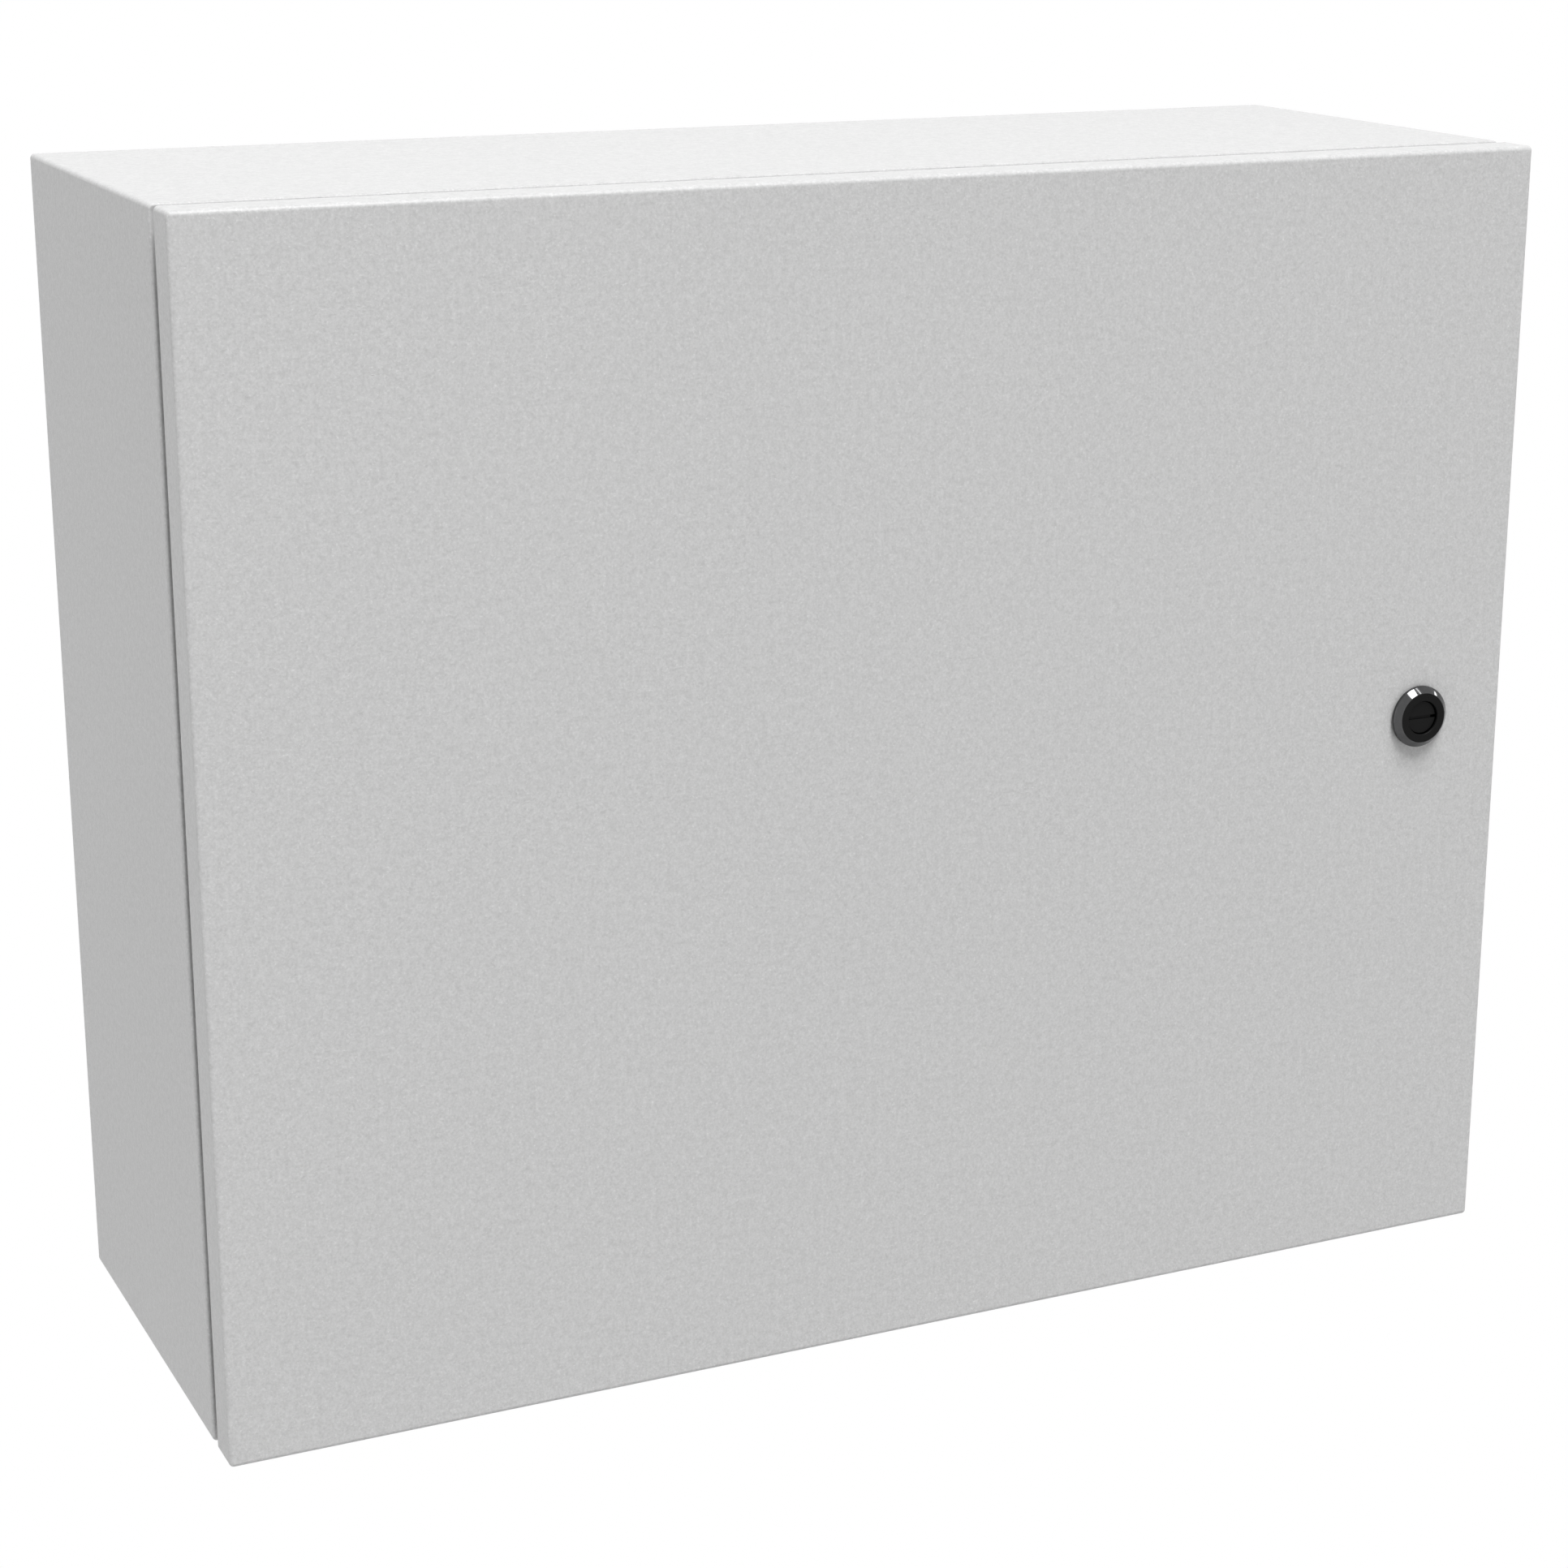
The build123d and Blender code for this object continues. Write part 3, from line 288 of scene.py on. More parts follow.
class Finish(Graph):
    """A material under construction, on Object coordinates."""

    def __init__(self, name):
        self.material = bpy.data.materials.new(name)
        self.material.use_nodes = True
        super().__init__(self.material.node_tree)
        self.tree.nodes.clear()
        self.place = self.out("ShaderNodeTexCoord", "Object")

    def noise(self, scale, detail=2.0, roughness=0.5, stretch=None):
        """Smooth noise from 0 to 1, with about scale features to the metre."""
        place = self.place
        if stretch:
            place = self.out("ShaderNodeMapping", 0, None, {"Vector": place, "Scale": stretch})
        sockets = {"Vector": place, "Scale": scale, "Detail": detail, "Roughness": roughness}
        return self.out("ShaderNodeTexNoise", 0, None, sockets)

    def cells(self, scale):
        """One random number for each crystal-like cell."""
        sockets = {"Vector": self.place, "Scale": scale}
        colour = self.out("ShaderNodeTexVoronoi", "Color", None, sockets)
        return self.out("ShaderNodeSeparateColor", 0, None, {"Color": colour})

    def ramp(self, value, stops):
        """A grey ramp as a number."""
        colour = self.out("ShaderNodeValToRGB", 0, {"stops": stops}, {"Fac": value})
        return self.out("ShaderNodeSeparateColor", 0, None, {"Color": colour})

    def mix(self, factor, first, second):
        """A colour between two colours, by the Mix node's colour sockets."""
        return self.out("ShaderNodeMix", 2, {"data_type": "RGBA"}, {0: factor, 6: first, 7: second})

    def grey(self, value):
        """A number as a grey colour."""
        return self.out("ShaderNodeCombineColor", 0, None, {0: value, 1: value, 2: value})

    def bump(self, height, strength, distance):
        """A normal that follows a height."""
        sockets = {"Height": height, "Strength": strength, "Distance": distance}
        return self.out("ShaderNodeBump", 0, None, sockets)

    def close(self, sockets):
        """Add a Principled shader and the output."""
        shader = self.out("ShaderNodeBsdfPrincipled", 0, None, sockets)
        self.node("ShaderNodeOutputMaterial", None, {"Surface": shader})
        return self.material


def powder_coat():
    """Light grey powder coat: fine orange peel, with faint glints painted into its colour as bright
    specks.
    """
    coat = Finish("powder_coat_light_grey")
    peel = coat.noise(850.0, 2.0, 0.6)
    mottle = coat.noise(330.0, 2.0)
    # Painted glints: bright specks added to the base colour, in place of the coat's glitter under the
    # lamps.
    painted_glint = coat.ramp(coat.noise(1100.0, 1.0), [(0.62, 0.0), (0.72, 1.0)])
    cloud = coat.noise(9.0, 2.0)
    shade = COAT_SHADE * (0.66 + 0.40 * peel + 0.24 * mottle + 0.02 * cloud) + 0.08 * painted_glint
    return coat.close({
        "Base Color": coat.grey(shade),
        "Roughness": 0.40 + 0.10 * peel,
        "Normal": coat.bump(peel, 0.5, 0.25 * MM),
    })


def galvanised_sheet():
    """Hot-dip zinc with a flat spangle and faint rolling lines."""
    zinc = Finish("galvanised_sheet")
    spangle = zinc.cells(85.0)
    lines = zinc.noise(60.0, 3.0, stretch=(14.0, 1.0, 0.6))
    shade = 0.47 + 0.13 * spangle + 0.05 * lines
    return zinc.close({
        "Base Color": zinc.grey(shade),
        "Metallic": 1.0,
        "Roughness": 0.30 + 0.16 * spangle + 0.08 * lines,
        "Normal": zinc.bump(lines, 0.10, 0.10 * MM),
    })


def bright_zinc():
    """Bright zinc plate on small steel parts."""
    zinc = Finish("bright_zinc_plate")
    haze = zinc.noise(220.0, 3.0)
    colour = zinc.mix(haze, ZINC_COOL, ZINC_WARM)
    return zinc.close({
        "Base Color": colour,
        "Metallic": 1.0,
        "Roughness": 0.22 + 0.18 * haze,
        "Normal": zinc.bump(zinc.noise(1800.0), 0.08, 0.05 * MM),
    })


def copper_flash():
    """Copper-flashed weld studs, worn to steel in places."""
    stud = Finish("copper_flashed_stud")
    wear = stud.ramp(stud.noise(700.0, 3.0), [(0.42, 0.0), (0.70, 1.0)])
    colour = stud.mix(wear, COPPER, WORN_STEEL)
    return stud.close({
        "Base Color": colour,
        "Metallic": 1.0,
        "Roughness": 0.30 + 0.15 * wear,
        "Normal": stud.bump(stud.noise(2200.0), 0.08, 0.05 * MM),
    })


def foam_seal():
    """Foamed-in-place seal: a matt skin with small pores."""
    foam = Finish("foamed_seal")
    pores = foam.noise(1300.0, 3.0, 0.6)
    swell = foam.noise(90.0, 2.0)
    return foam.close({
        "Base Color": foam.grey(0.028 + 0.022 * pores + 0.012 * swell),
        "Roughness": 0.78 + 0.15 * pores,
        "Specular IOR Level": 0.3,
        "Normal": foam.bump(pores, 0.35, 0.25 * MM),
    })


def black_rubber():
    """Black rubber with a dusty bloom."""
    rubber = Finish("black_rubber")
    bloom = rubber.noise(160.0, 3.0)
    return rubber.close({
        "Base Color": rubber.grey(0.012 + 0.016 * bloom),
        "Roughness": 0.55 + 0.2 * bloom,
        "Specular IOR Level": 0.35,
        "Normal": rubber.bump(rubber.noise(1500.0), 0.12, 0.08 * MM),
    })


def dark_chrome():
    """Dark chrome plate on the latch bezel."""
    chrome = Finish("dark_chrome_plate")
    haze = chrome.noise(500.0, 2.0)
    colour = chrome.mix(haze, CHROME_DARK, CHROME_PALE)
    return chrome.close({
        "Base Color": colour,
        "Metallic": 1.0,
        "Roughness": 0.06 + 0.06 * haze,
        "Normal": chrome.bump(chrome.noise(2500.0), 0.03, 0.03 * MM),
    })


def satin_black(name, roughness):
    """Satin black: moulded plastic or a coated casting with a fine spark texture."""
    black = Finish(name)
    spark = black.noise(2600.0, 2.0)
    return black.close({
        "Base Color": black.grey(SATIN_BLACK_SHADE * (0.8 + 0.4 * spark)),
        "Roughness": roughness + 0.12 * spark,
        "Specular IOR Level": 0.10,
        "Normal": black.bump(spark, 0.10, 0.05 * MM),
    })


FINISHES = {
    "powder_coat": powder_coat(),
    "zinc_sheet": galvanised_sheet(),
    "zinc_steel": bright_zinc(),
    "stud_steel": copper_flash(),
    "gasket_foam": foam_seal(),
    "black_rubber": black_rubber(),
    "bezel_chrome": dark_chrome(),
    "black_plastic": satin_black("satin_black_plastic", PLASTIC_ROUGHNESS),
    "black_rotor": satin_black("satin_black_casting", CASTING_ROUGHNESS),
}


def coat_nodes():
    """Give every node of the frame the finish of its slot."""
    for part in frame["record"]["subparts"]:
        node = frame["nodes"][part["node"]]
        for place in node.material_slots:
            place.material = FINISHES[part["material_slot"]]


def node_slot(node):
    """The material slot of a node."""
    parts = frame["record"]["subparts"]
    return next(part["material_slot"] for part in parts if part["node"] == node)


def node_body(node):
    """The body that carries a node."""
    bodies = frame["record"]["behaviour"]["bodies"]
    return next(body for body, members in bodies.items() if node in members)


def shade_by_angle(mesh):
    """Smooth shading, broken at the sharp edges."""
    for face in mesh.polygons:
        face.use_smooth = True
    mesh.set_sharp_from_angle(angle=SHARP_ANGLE)


def add_object(name, data):
    """Put a mesh, a lamp or a camera in the scene."""
    made = bpy.data.objects.new(name, data)
    bpy.context.scene.collection.objects.link(made)
    return made


def dress(piece, body, slot, *nodes):
    """Give a finished piece its body and hide the nodes that it stands for; the slot is not used."""
    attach(piece, body)
    if nodes:
        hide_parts(*nodes)


def evaluated_mesh(piece):
    """The piece's mesh with its modifiers applied."""
    depsgraph = bpy.context.evaluated_depsgraph_get()
    return bpy.data.meshes.new_from_object(piece.evaluated_get(depsgraph))


def apply_modifiers(piece):
    """Turn the modified piece into a plain mesh."""
    made = evaluated_mesh(piece)
    piece.modifiers.clear()
    old = piece.data
    piece.data = made
    bpy.data.meshes.remove(old)


def weigh_normals(piece):
    """Let the large faces lead the shading, so that eased edges leave the flats flat."""
    weighted = piece.modifiers.new("flats", "WEIGHTED_NORMAL")
    weighted.keep_sharp = True
    apply_modifiers(piece)


def joined_shape(node):
    """A node's faces, joined along their edges."""
    shape = bmesh.new()
    shape.from_mesh(frame["nodes"][node].data)
    bmesh.ops.remove_doubles(shape, verts=shape.verts, dist=JOIN_REACH)
    return shape


def shape_mesh(name, shape, slot):
    """A finished shape as a mesh with its coat and with plain shading."""
    mesh = bpy.data.meshes.new(name)
    shape.to_mesh(mesh)
    shape.free()
    if "custom_normal" in mesh.attributes:
        mesh.attributes.remove(mesh.attributes["custom_normal"])
    mesh.materials.append(FINISHES[slot])
    shade_by_angle(mesh)
    return mesh


def add_shape(name, shape, slot):
    """Put a finished shape in the scene."""
    return add_object(name, shape_mesh(name, shape, slot))


def eased_copy(node, width, pegs=None):
    """A copy of a node with holes for the pegs, and with eased edges as cut and coated sheet has them."""
    shape = joined_shape(node)
    bmesh.ops.dissolve_limit(shape, angle_limit=FLAT_ANGLE, verts=shape.verts, edges=shape.edges)
    slot = node_slot(node)
    piece = add_shape(node + "_eased", shape, slot)
    if pegs:
        holes = piece.modifiers.new("holes", "BOOLEAN")
        holes.operation = "DIFFERENCE"
        holes.object = pegs
    bevel = piece.modifiers.new("ease", "BEVEL")
    bevel.limit_method = "ANGLE"
    bevel.angle_limit = SHARP_ANGLE
    bevel.width = width
    bevel.segments = EASE_SEGMENTS
    bevel.use_clamp_overlap = True
    weigh_normals(piece)
    dress(piece, node_body(node), slot, node)


def outline_step(place):
    """The step from the body's outline to a place inside it, seen from the front."""
    middle = Vector((CABINET_HIGH.x - BODY_BEND, CABINET_HIGH.z - BODY_BEND))
    past = Vector((abs(place.x), abs(place.z))) - middle
    if past.x < 0 or past.y < 0:
        past = Vector((past.x, 0)) if past.x > past.y else Vector((0, past.y))
    step = past - past.normalized() * BODY_BEND
    return Vector((math.copysign(1, place.x) * step.x, 0, math.copysign(1, place.z) * step.y))


def add_body():
    """The body with its front fold at its full radius, for which the solid has a small edge."""
    shape = joined_shape("cabinet_body")
    reach = BODY_RIM_EDGE + FOLD_REACH
    growth = BODY_FOLD / BODY_RIM_EDGE - 1
    for vert in shape.verts:
        inward = outline_step(vert.co)
        behind = vert.co.y - LIP_PLACE
        # The points of the small edge move away from the outer corner, as its radius grows
        if inward.length < reach and -FOLD_REACH < behind < reach:
            vert.co += (inward + Vector(BACK) * behind) * growth
    piece = add_shape("cabinet_body_folded", shape, "powder_coat")
    weigh_normals(piece)
    dress(piece, "cabinet", "powder_coat", "cabinet_body")


def axis_frame(origin, direction, across):
    """A matrix that stands local Z along direction, with local X along across."""
    up = Vector(direction).normalized()
    side = Vector(across).normalized()
    matrix = Matrix((side, up.cross(side), up)).transposed().to_4x4()
    return Matrix.Translation(origin) @ matrix


def ringed_mesh(name, rings, slot, closed):
    """A mesh of rings of points: a tube that closes on itself, or a row of rings with both ends filled."""
    shape = bmesh.new()
    rows = [[shape.verts.new(point) for point in points] for points in rings]
    count = len(rows[0])
    pairs = list(zip(rows, rows[1:]))
    if closed:
        pairs.append((rows[-1], rows[0]))
    for lower, upper in pairs:
        for step in range(count):
            after = (step + 1) % count
            shape.faces.new((lower[step], lower[after], upper[after], upper[step]))
    if not closed:
        shape.faces.new(rows[0])
        shape.faces.new(rows[-1])
    bmesh.ops.recalc_face_normals(shape, faces=shape.faces)
    return shape_mesh(name, shape, slot)


def ring(radius, height, segments):
    """A ring of points about local Z. The radius and the height are numbers or functions of the angle."""
    points = []
    for step in range(segments):
        angle = FULL_TURN * step / segments
        reach = radius(angle) if callable(radius) else radius
        level = height(angle) if callable(height) else height
        points.append((reach * math.cos(angle), reach * math.sin(angle), level))
    return points


def hex_reach(across):
    """The radius of a hexagon as a function of the angle, with a corner at the angle 0."""
    sector = FULL_TURN / 6

    def reach(angle):
        return across / 2 / math.cos(angle % sector - sector / 2)

    return reach


def corner_drop(outline, crown):
    """How far a hexagon's domed corners fall below its round crown, as a function of the angle."""

    def drop(angle):
        return max(0.0, outline(angle) - crown) * NUT_CHAMFER

    return drop


def turned_mesh(name, profile, slot, segments=NUT_SEGMENTS, closed=True):
    """A mesh from a profile of (radius, height) points: a ring, or a rod if the profile isn't closed."""
    rings = [ring(radius, height, segments) for radius, height in profile]
    return ringed_mesh(name, rings, slot, closed)


def washer_profile(outer, bore, height, ease):
    """The profile of a flat ring with eased edges."""
    return [
        (bore, ease),
        (bore + ease, 0.0),
        (outer - ease, 0.0),
        (outer, ease),
        (outer, height - ease),
        (outer - ease, height),
        (bore + ease, height),
        (bore, height - ease),
    ]


def hex_nut_mesh(across, height, bore, slot, flange=None):
    """A hexagon nut with domed corners and a countersunk bore, on a flange if its radius is given."""
    outline = hex_reach(across)
    crown = across / 2 * NUT_CROWN_SHARE
    drop = corner_drop(outline, crown)
    sink = M8_SINK * across / M8_ACROSS
    profile = [(bore / 2, sink), (bore / 2 + sink, 0.0)]
    if flange:
        profile += [(flange, 0.0), (flange, M5_FLANGE_RIM), (outline, M5_FLANGE_HEIGHT)]
    else:
        profile += [(crown, 0.0), (outline, drop)]
    profile += [
        (outline, lambda angle: height - drop(angle)),
        (crown, height),
        (bore / 2 + sink, height),
        (bore / 2, height - sink),
    ]
    return turned_mesh("nut", profile, slot)


class Grower(Graph):
    """A Geometry Nodes tree with named inputs."""

    def __init__(self, name):
        super().__init__(bpy.data.node_groups.new(name, "GeometryNodeTree"))
        self.sockets = {}
        self.add_socket("Geometry", "NodeSocketGeometry")
        self.tree.interface.new_socket("Geometry", in_out="OUTPUT", socket_type="NodeSocketGeometry")
        self.group_input = None

    def add_socket(self, name, kind):
        """Add a named input."""
        self.sockets[name] = self.tree.interface.new_socket(name, in_out="INPUT", socket_type=kind)

    def given(self, name):
        """A named input as a link."""
        if self.group_input is None:
            self.group_input = self.node("NodeGroupInput")
        return Link(self, self.group_input.outputs[name])

    def close(self, geometry):
        """Realise the instances, set the material and end the tree."""
        real = self.out("GeometryNodeRealizeInstances", 0, None, {"Geometry": geometry})
        sockets = {"Geometry": real, "Material": self.given("Material")}
        coated = self.out("GeometryNodeSetMaterial", 0, None, sockets)
        self.node("NodeGroupOutput", None, {0: coated})

    def grow(self, name, mesh, values):
        """Run the tree on a mesh and keep the result as a plain mesh."""
        seed = add_object(name, mesh)
        modifier = seed.modifiers.new("grow", "NODES")
        modifier.node_group = self.tree
        for label, value in values.items():
            modifier[self.sockets[label].identifier] = value
        apply_modifiers(seed)
        shade_by_angle(seed.data)
        return seed


def threaded_rod(tree):
    """A rod along Z with a helical thread and a pointed tip, on the origin."""
    radius, length, pitch = (tree.given(name) for name in ("Radius", "Length", "Pitch"))
    rod = tree.out("GeometryNodeMeshCylinder", 0, None, {
        "Vertices": THREAD_SEGMENTS,
        "Side Segments": length / pitch * THREAD_ROWS_PER_PITCH,
        "Radius": radius,
        "Depth": length,
    })
    place = tree.out("GeometryNodeInputPosition", 0)
    split = tree.node("ShaderNodeSeparateXYZ", None, {0: place})
    x, y, z = (Link(tree, socket) for socket in split.outputs)
    height = z + length / 2
    turn = tree.maths("ARCTAN2", y, x) / FULL_TURN
    wave = tree.maths("PINGPONG", height / pitch - turn, 0.5) * 2
    thread = radius - tree.given("Depth") * wave
    tip = radius - tree.given("Tip") + length - height
    scale = tree.maths("MINIMUM", thread, tip) / radius
    moved = tree.out("ShaderNodeCombineXYZ", 0, None, {0: x * scale, 1: y * scale, 2: height})
    return tree.out("GeometryNodeSetPosition", 0, None, {"Geometry": rod, "Position": moved})


def stud_tree():
    """Threaded studs: one on each point, along Direction."""
    tree = Grower("threaded_studs")
    for name in ("Radius", "Length", "Pitch", "Depth", "Tip"):
        tree.add_socket(name, "NodeSocketFloat")
    tree.add_socket("Direction", "NodeSocketVector")
    tree.add_socket("Material", "NodeSocketMaterial")
    sockets = {"Vector": tree.given("Direction")}
    aim = tree.out("FunctionNodeAlignRotationToVector", 0, {"axis": "Z"}, sockets)
    placed = tree.out("GeometryNodeInstanceOnPoints", 0, None, {
        "Points": tree.given("Geometry"),
        "Instance": threaded_rod(tree),
        "Rotation": aim,
    })
    tree.close(placed)
    return tree


def copies_tree():
    """Copies of one shape, one on each point."""
    tree = Grower("copies_on_points")
    tree.add_socket("Shape", "NodeSocketObject")
    tree.add_socket("Material", "NodeSocketMaterial")
    shape = tree.out("GeometryNodeObjectInfo", "Geometry", None, {"Object": tree.given("Shape")})
    placed = tree.out("GeometryNodeInstanceOnPoints", 0, None, {
        "Points": tree.given("Geometry"),
        "Instance": shape,
    })
    tree.close(placed)
    return tree


def weld_tree():
    """Weld beads: overlapping flattened drops along each edge of the given mesh."""
    tree = Grower("weld_beads")
    for name in ("Radius", "Pitch"):
        tree.add_socket(name, "NodeSocketFloat")
    tree.add_socket("Material", "NodeSocketMaterial")
    path = tree.out("GeometryNodeMeshToCurve", 0, None, {"Mesh": tree.given("Geometry")})
    spaced = tree.out("GeometryNodeResampleCurve", 0, {"mode": "LENGTH"}, {
        "Curve": path,
        "Length": tree.given("Pitch"),
    })
    drop = tree.out("GeometryNodeMeshUVSphere", 0, None, {
        "Segments": WELD_DROP_SEGMENTS,
        "Rings": WELD_DROP_RINGS,
        "Radius": tree.given("Radius"),
    })
    tangent = tree.out("GeometryNodeInputTangent", 0)
    aim = tree.out("FunctionNodeAlignRotationToVector", 0, {"axis": "Z"}, {"Vector": tangent})
    sockets = {2: WELD_DROP_LEAST_WIDTH, 3: WELD_DROP_MOST_WIDTH, "Seed": WELD_SEED}
    width = tree.out("FunctionNodeRandomValue", 1, {"data_type": "FLOAT"}, sockets)
    placed = tree.out("GeometryNodeInstanceOnPoints", 0, None, {
        "Points": spaced,
        "Instance": drop,
        "Rotation": aim,
        "Scale": tree.out("ShaderNodeCombineXYZ", 0, None, {0: width, 1: width, 2: WELD_DROP_LENGTH}),
    })
    tree.close(placed)
    return tree


STUDS = stud_tree()
COPIES = copies_tree()
WELDS = weld_tree()


def points_mesh(name, points, edges=()):
    """A mesh of loose points, or of lines between them."""
    mesh = bpy.data.meshes.new(name)
    mesh.from_pydata([tuple(point) for point in points], list(edges), [])
    return mesh


def solid_boxes(node):
    """The box of each separate solid in a node."""
    shape = joined_shape(node)
    left = set(shape.verts)
    boxes = []
    while left:
        island = {left.pop()}
        edge_of_island = set(island)
        while edge_of_island:
            reached = {edge.other_vert(vert) for vert in edge_of_island for edge in vert.link_edges}
            edge_of_island = reached - island
            island |= edge_of_island
        left -= island
        low = Vector([min(vert.co[axis] for vert in island) for axis in range(3)])
        high = Vector([max(vert.co[axis] for vert in island) for axis in range(3)])
        boxes.append((low, high))
    shape.free()
    return sorted(boxes, key=lambda box: tuple(round(value, 6) for value in box[0]))


def length_along(box, direction):
    """The size of a box along a direction."""
    return abs((box[1] - box[0]).dot(Vector(direction)))


def seat(box, direction):
    """The middle of a box's end face that direction points away from."""
    middle = (box[0] + box[1]) / 2
    return middle - Vector(direction) * length_along(box, direction) / 2


def size_across(box, direction):
    """The smaller size of a box square to a direction along an axis."""
    return min(box[1][axis] - box[0][axis] for axis in range(3) if not direction[axis])


def add_studs(node, direction, pitch):
    """Threaded weld studs in place of the plain ones of a node."""
    boxes = solid_boxes(node)
    places = points_mesh(node + "_places", [seat(box, direction) for box in boxes])
    piece = STUDS.grow(node + "_threaded", places, {
        "Radius": size_across(boxes[0], direction) / 2,
        "Length": length_along(boxes[0], direction),
        "Pitch": pitch,
        "Depth": pitch * THREAD_DEPTH_SHARE,
        "Tip": THREAD_TIP,
        "Direction": direction,
        "Material": FINISHES["stud_steel"],
    })
    dress(piece, node_body(node), "stud_steel", node)


def spread(name, mesh, places, slot):
    """One piece made of copies of a mesh, one on each place."""
    shape = add_object(name + "_shape", mesh)
    points = points_mesh(name + "_places", places)
    piece = COPIES.grow(name, points, {"Shape": shape, "Material": FINISHES[slot]})
    bpy.data.objects.remove(shape)
    return piece


def add_copies(node, direction, corner, make):
    """One shape on the seat of each solid of a node, made for the first solid's box."""
    slot = node_slot(node)
    boxes = solid_boxes(node)
    mesh = make(boxes[0], direction, slot)
    mesh.transform(axis_frame(Vector(), direction, corner))
    piece = spread(node + "_turned", mesh, [seat(box, direction) for box in boxes], slot)
    weigh_normals(piece)
    dress(piece, node_body(node), slot, node)


def nut_maker(across, bore, flanged=False):
    """A function that makes a nut for a solid's box, its direction and its slot."""

    def make(box, direction, slot):
        flange = (box[1].x - box[0].x) / 2 if flanged else None
        return hex_nut_mesh(across, length_along(box, direction), bore, slot, flange)

    return make


def add_nuts():
    """Nuts with domed corners on every stud, and the thin nut behind the latch."""
    m8_nut = nut_maker(M8_ACROSS, M8_BORE)
    for node, direction, corner, make in (
        ("plate_nuts", FRONT, RIGHT, m8_nut),
        ("gland_nuts", UP, RIGHT, nut_maker(M5_ACROSS, M5_BORE, flanged=True)),
        ("earth_nut", UP, RIGHT, m8_nut),
        ("door_earth_nut", BACK, UP, m8_nut),
        ("latch_nut", BACK, UP, nut_maker(LATCH_NUT_ACROSS, LATCH_NUT_BORE)),
    ):
        add_copies(node, direction, corner, make)


def washer_maker(bore, ease):
    """A function that makes a washer or a spacer for a solid's box, its direction and its slot."""

    def make(box, direction, slot):
        outer = size_across(box, direction) / 2
        profile = washer_profile(outer, bore / 2, length_along(box, direction), ease)
        return turned_mesh("washer", profile, slot)

    return make


def add_washers():
    """Washers and spacers with eased edges."""
    washer = washer_maker(WASHER_BORE, WASHER_EASE)
    for node, direction, make in (
        ("plate_washers", FRONT, washer),
        ("plate_spacers", FRONT, washer_maker(SPACER_BORE, SPACER_EASE)),
        ("earth_washer", UP, washer),
        ("door_earth_washer", BACK, washer),
        ("cam_washer", BACK, washer_maker(CAM_WASHER_BORE, WASHER_EASE)),
    ):
        add_copies(node, direction, RIGHT, make)


def pin_profile(head, length):
    """The profile of a hinge pin, from its eased tail to its domed head."""
    neck = length - PIN_HEAD
    profile = [(PIN_RADIUS - PIN_EASE, 0.0), (PIN_RADIUS, PIN_EASE), (PIN_RADIUS, neck), (head, neck)]
    for step in range(PIN_DOME_STEPS):
        angle = QUARTER_TURN * step / PIN_DOME_STEPS
        rise = neck + PIN_EASE + (PIN_HEAD - PIN_EASE) * math.sin(angle)
        profile.append((head * math.cos(angle), rise))
    return profile


def add_hinge_pins():
    """Hinge pins with a domed head and an eased tail."""
    for node in ("hinge_pin_upper", "hinge_pin_lower"):
        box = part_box(node)
        profile = pin_profile((box[1].x - box[0].x) / 2, length_along(box, UP))
        mesh = turned_mesh(node + "_turned", profile, "zinc_steel", closed=False)
        mesh.transform(Matrix.Translation(seat(box, UP)))
        dress(add_object(node + "_turned", mesh), "cabinet", "zinc_steel", node)


def add_door_rails():
    """Door rails with a row of holes above and below the middle one, and with eased edges."""
    steps = [step for step in range(-RAIL_HOLE_PAIRS, RAIL_HOLE_PAIRS + 1) if step]
    profile = [(RAIL_HOLE_RADIUS, -RAIL_PEG_REACH), (RAIL_HOLE_RADIUS, RAIL_PEG_REACH)]
    for node in ("door_rail_left", "door_rail_right"):
        low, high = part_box(node)
        web = Vector(((low.x + high.x) / 2, high.y, (low.z + high.z) / 2))
        places = [web + Vector(UP) * step * RAIL_HOLE_PITCH for step in steps]
        peg = turned_mesh(node + "_peg", profile, "powder_coat", RAIL_PEG_SEGMENTS, closed=False)
        peg.transform(axis_frame(Vector(), BACK, RIGHT))
        pegs = spread(node + "_pegs", peg, places, "powder_coat")
        eased_copy(node, SHEET_EASE, pegs)
        bpy.data.objects.remove(pegs)


def rounded_path(half_width, half_height, corner, step):
    """Points round a rectangle with round corners, each with its outward direction, in a plane."""
    path = []
    for quarter in range(4):
        turn = quarter * QUARTER_TURN
        diagonal = turn + QUARTER_TURN / 2
        middle = Vector((
            math.copysign(half_width - corner, math.cos(diagonal)),
            math.copysign(half_height - corner, math.sin(diagonal)),
        ))
        for part in range(GASKET_CORNER_STEPS + 1):
            angle = turn + QUARTER_TURN * part / GASKET_CORNER_STEPS
            outward = Vector((math.cos(angle), math.sin(angle)))
            path.append((middle + outward * corner, outward))
        start, outward = path[-1]
        along = Vector((-outward.y, outward.x))
        run = 2 * (half_height - corner if quarter % 2 else half_width - corner)
        count = int(run / step)
        for part in range(1, count):
            path.append((start + along * run * part / count, outward))
    return path


def gasket_section(rise):
    """The section of the seal's bead: a rounded shoulder on each side of the collar's print."""
    half = GASKET_WIDTH / 2
    edge = GASKET_PRINT_WIDTH / 2
    section = [(-half, 0.0)]
    for part in range(1, GASKET_CROWN_STEPS + 1):
        angle = QUARTER_TURN * part / GASKET_CROWN_STEPS
        section.append((-edge - (half - edge) * math.cos(angle), rise * math.sin(angle)))
    section.append((-edge / 2, rise - GASKET_PRINT_DEPTH))
    return section + [(-across, height) for across, height in reversed(section)]


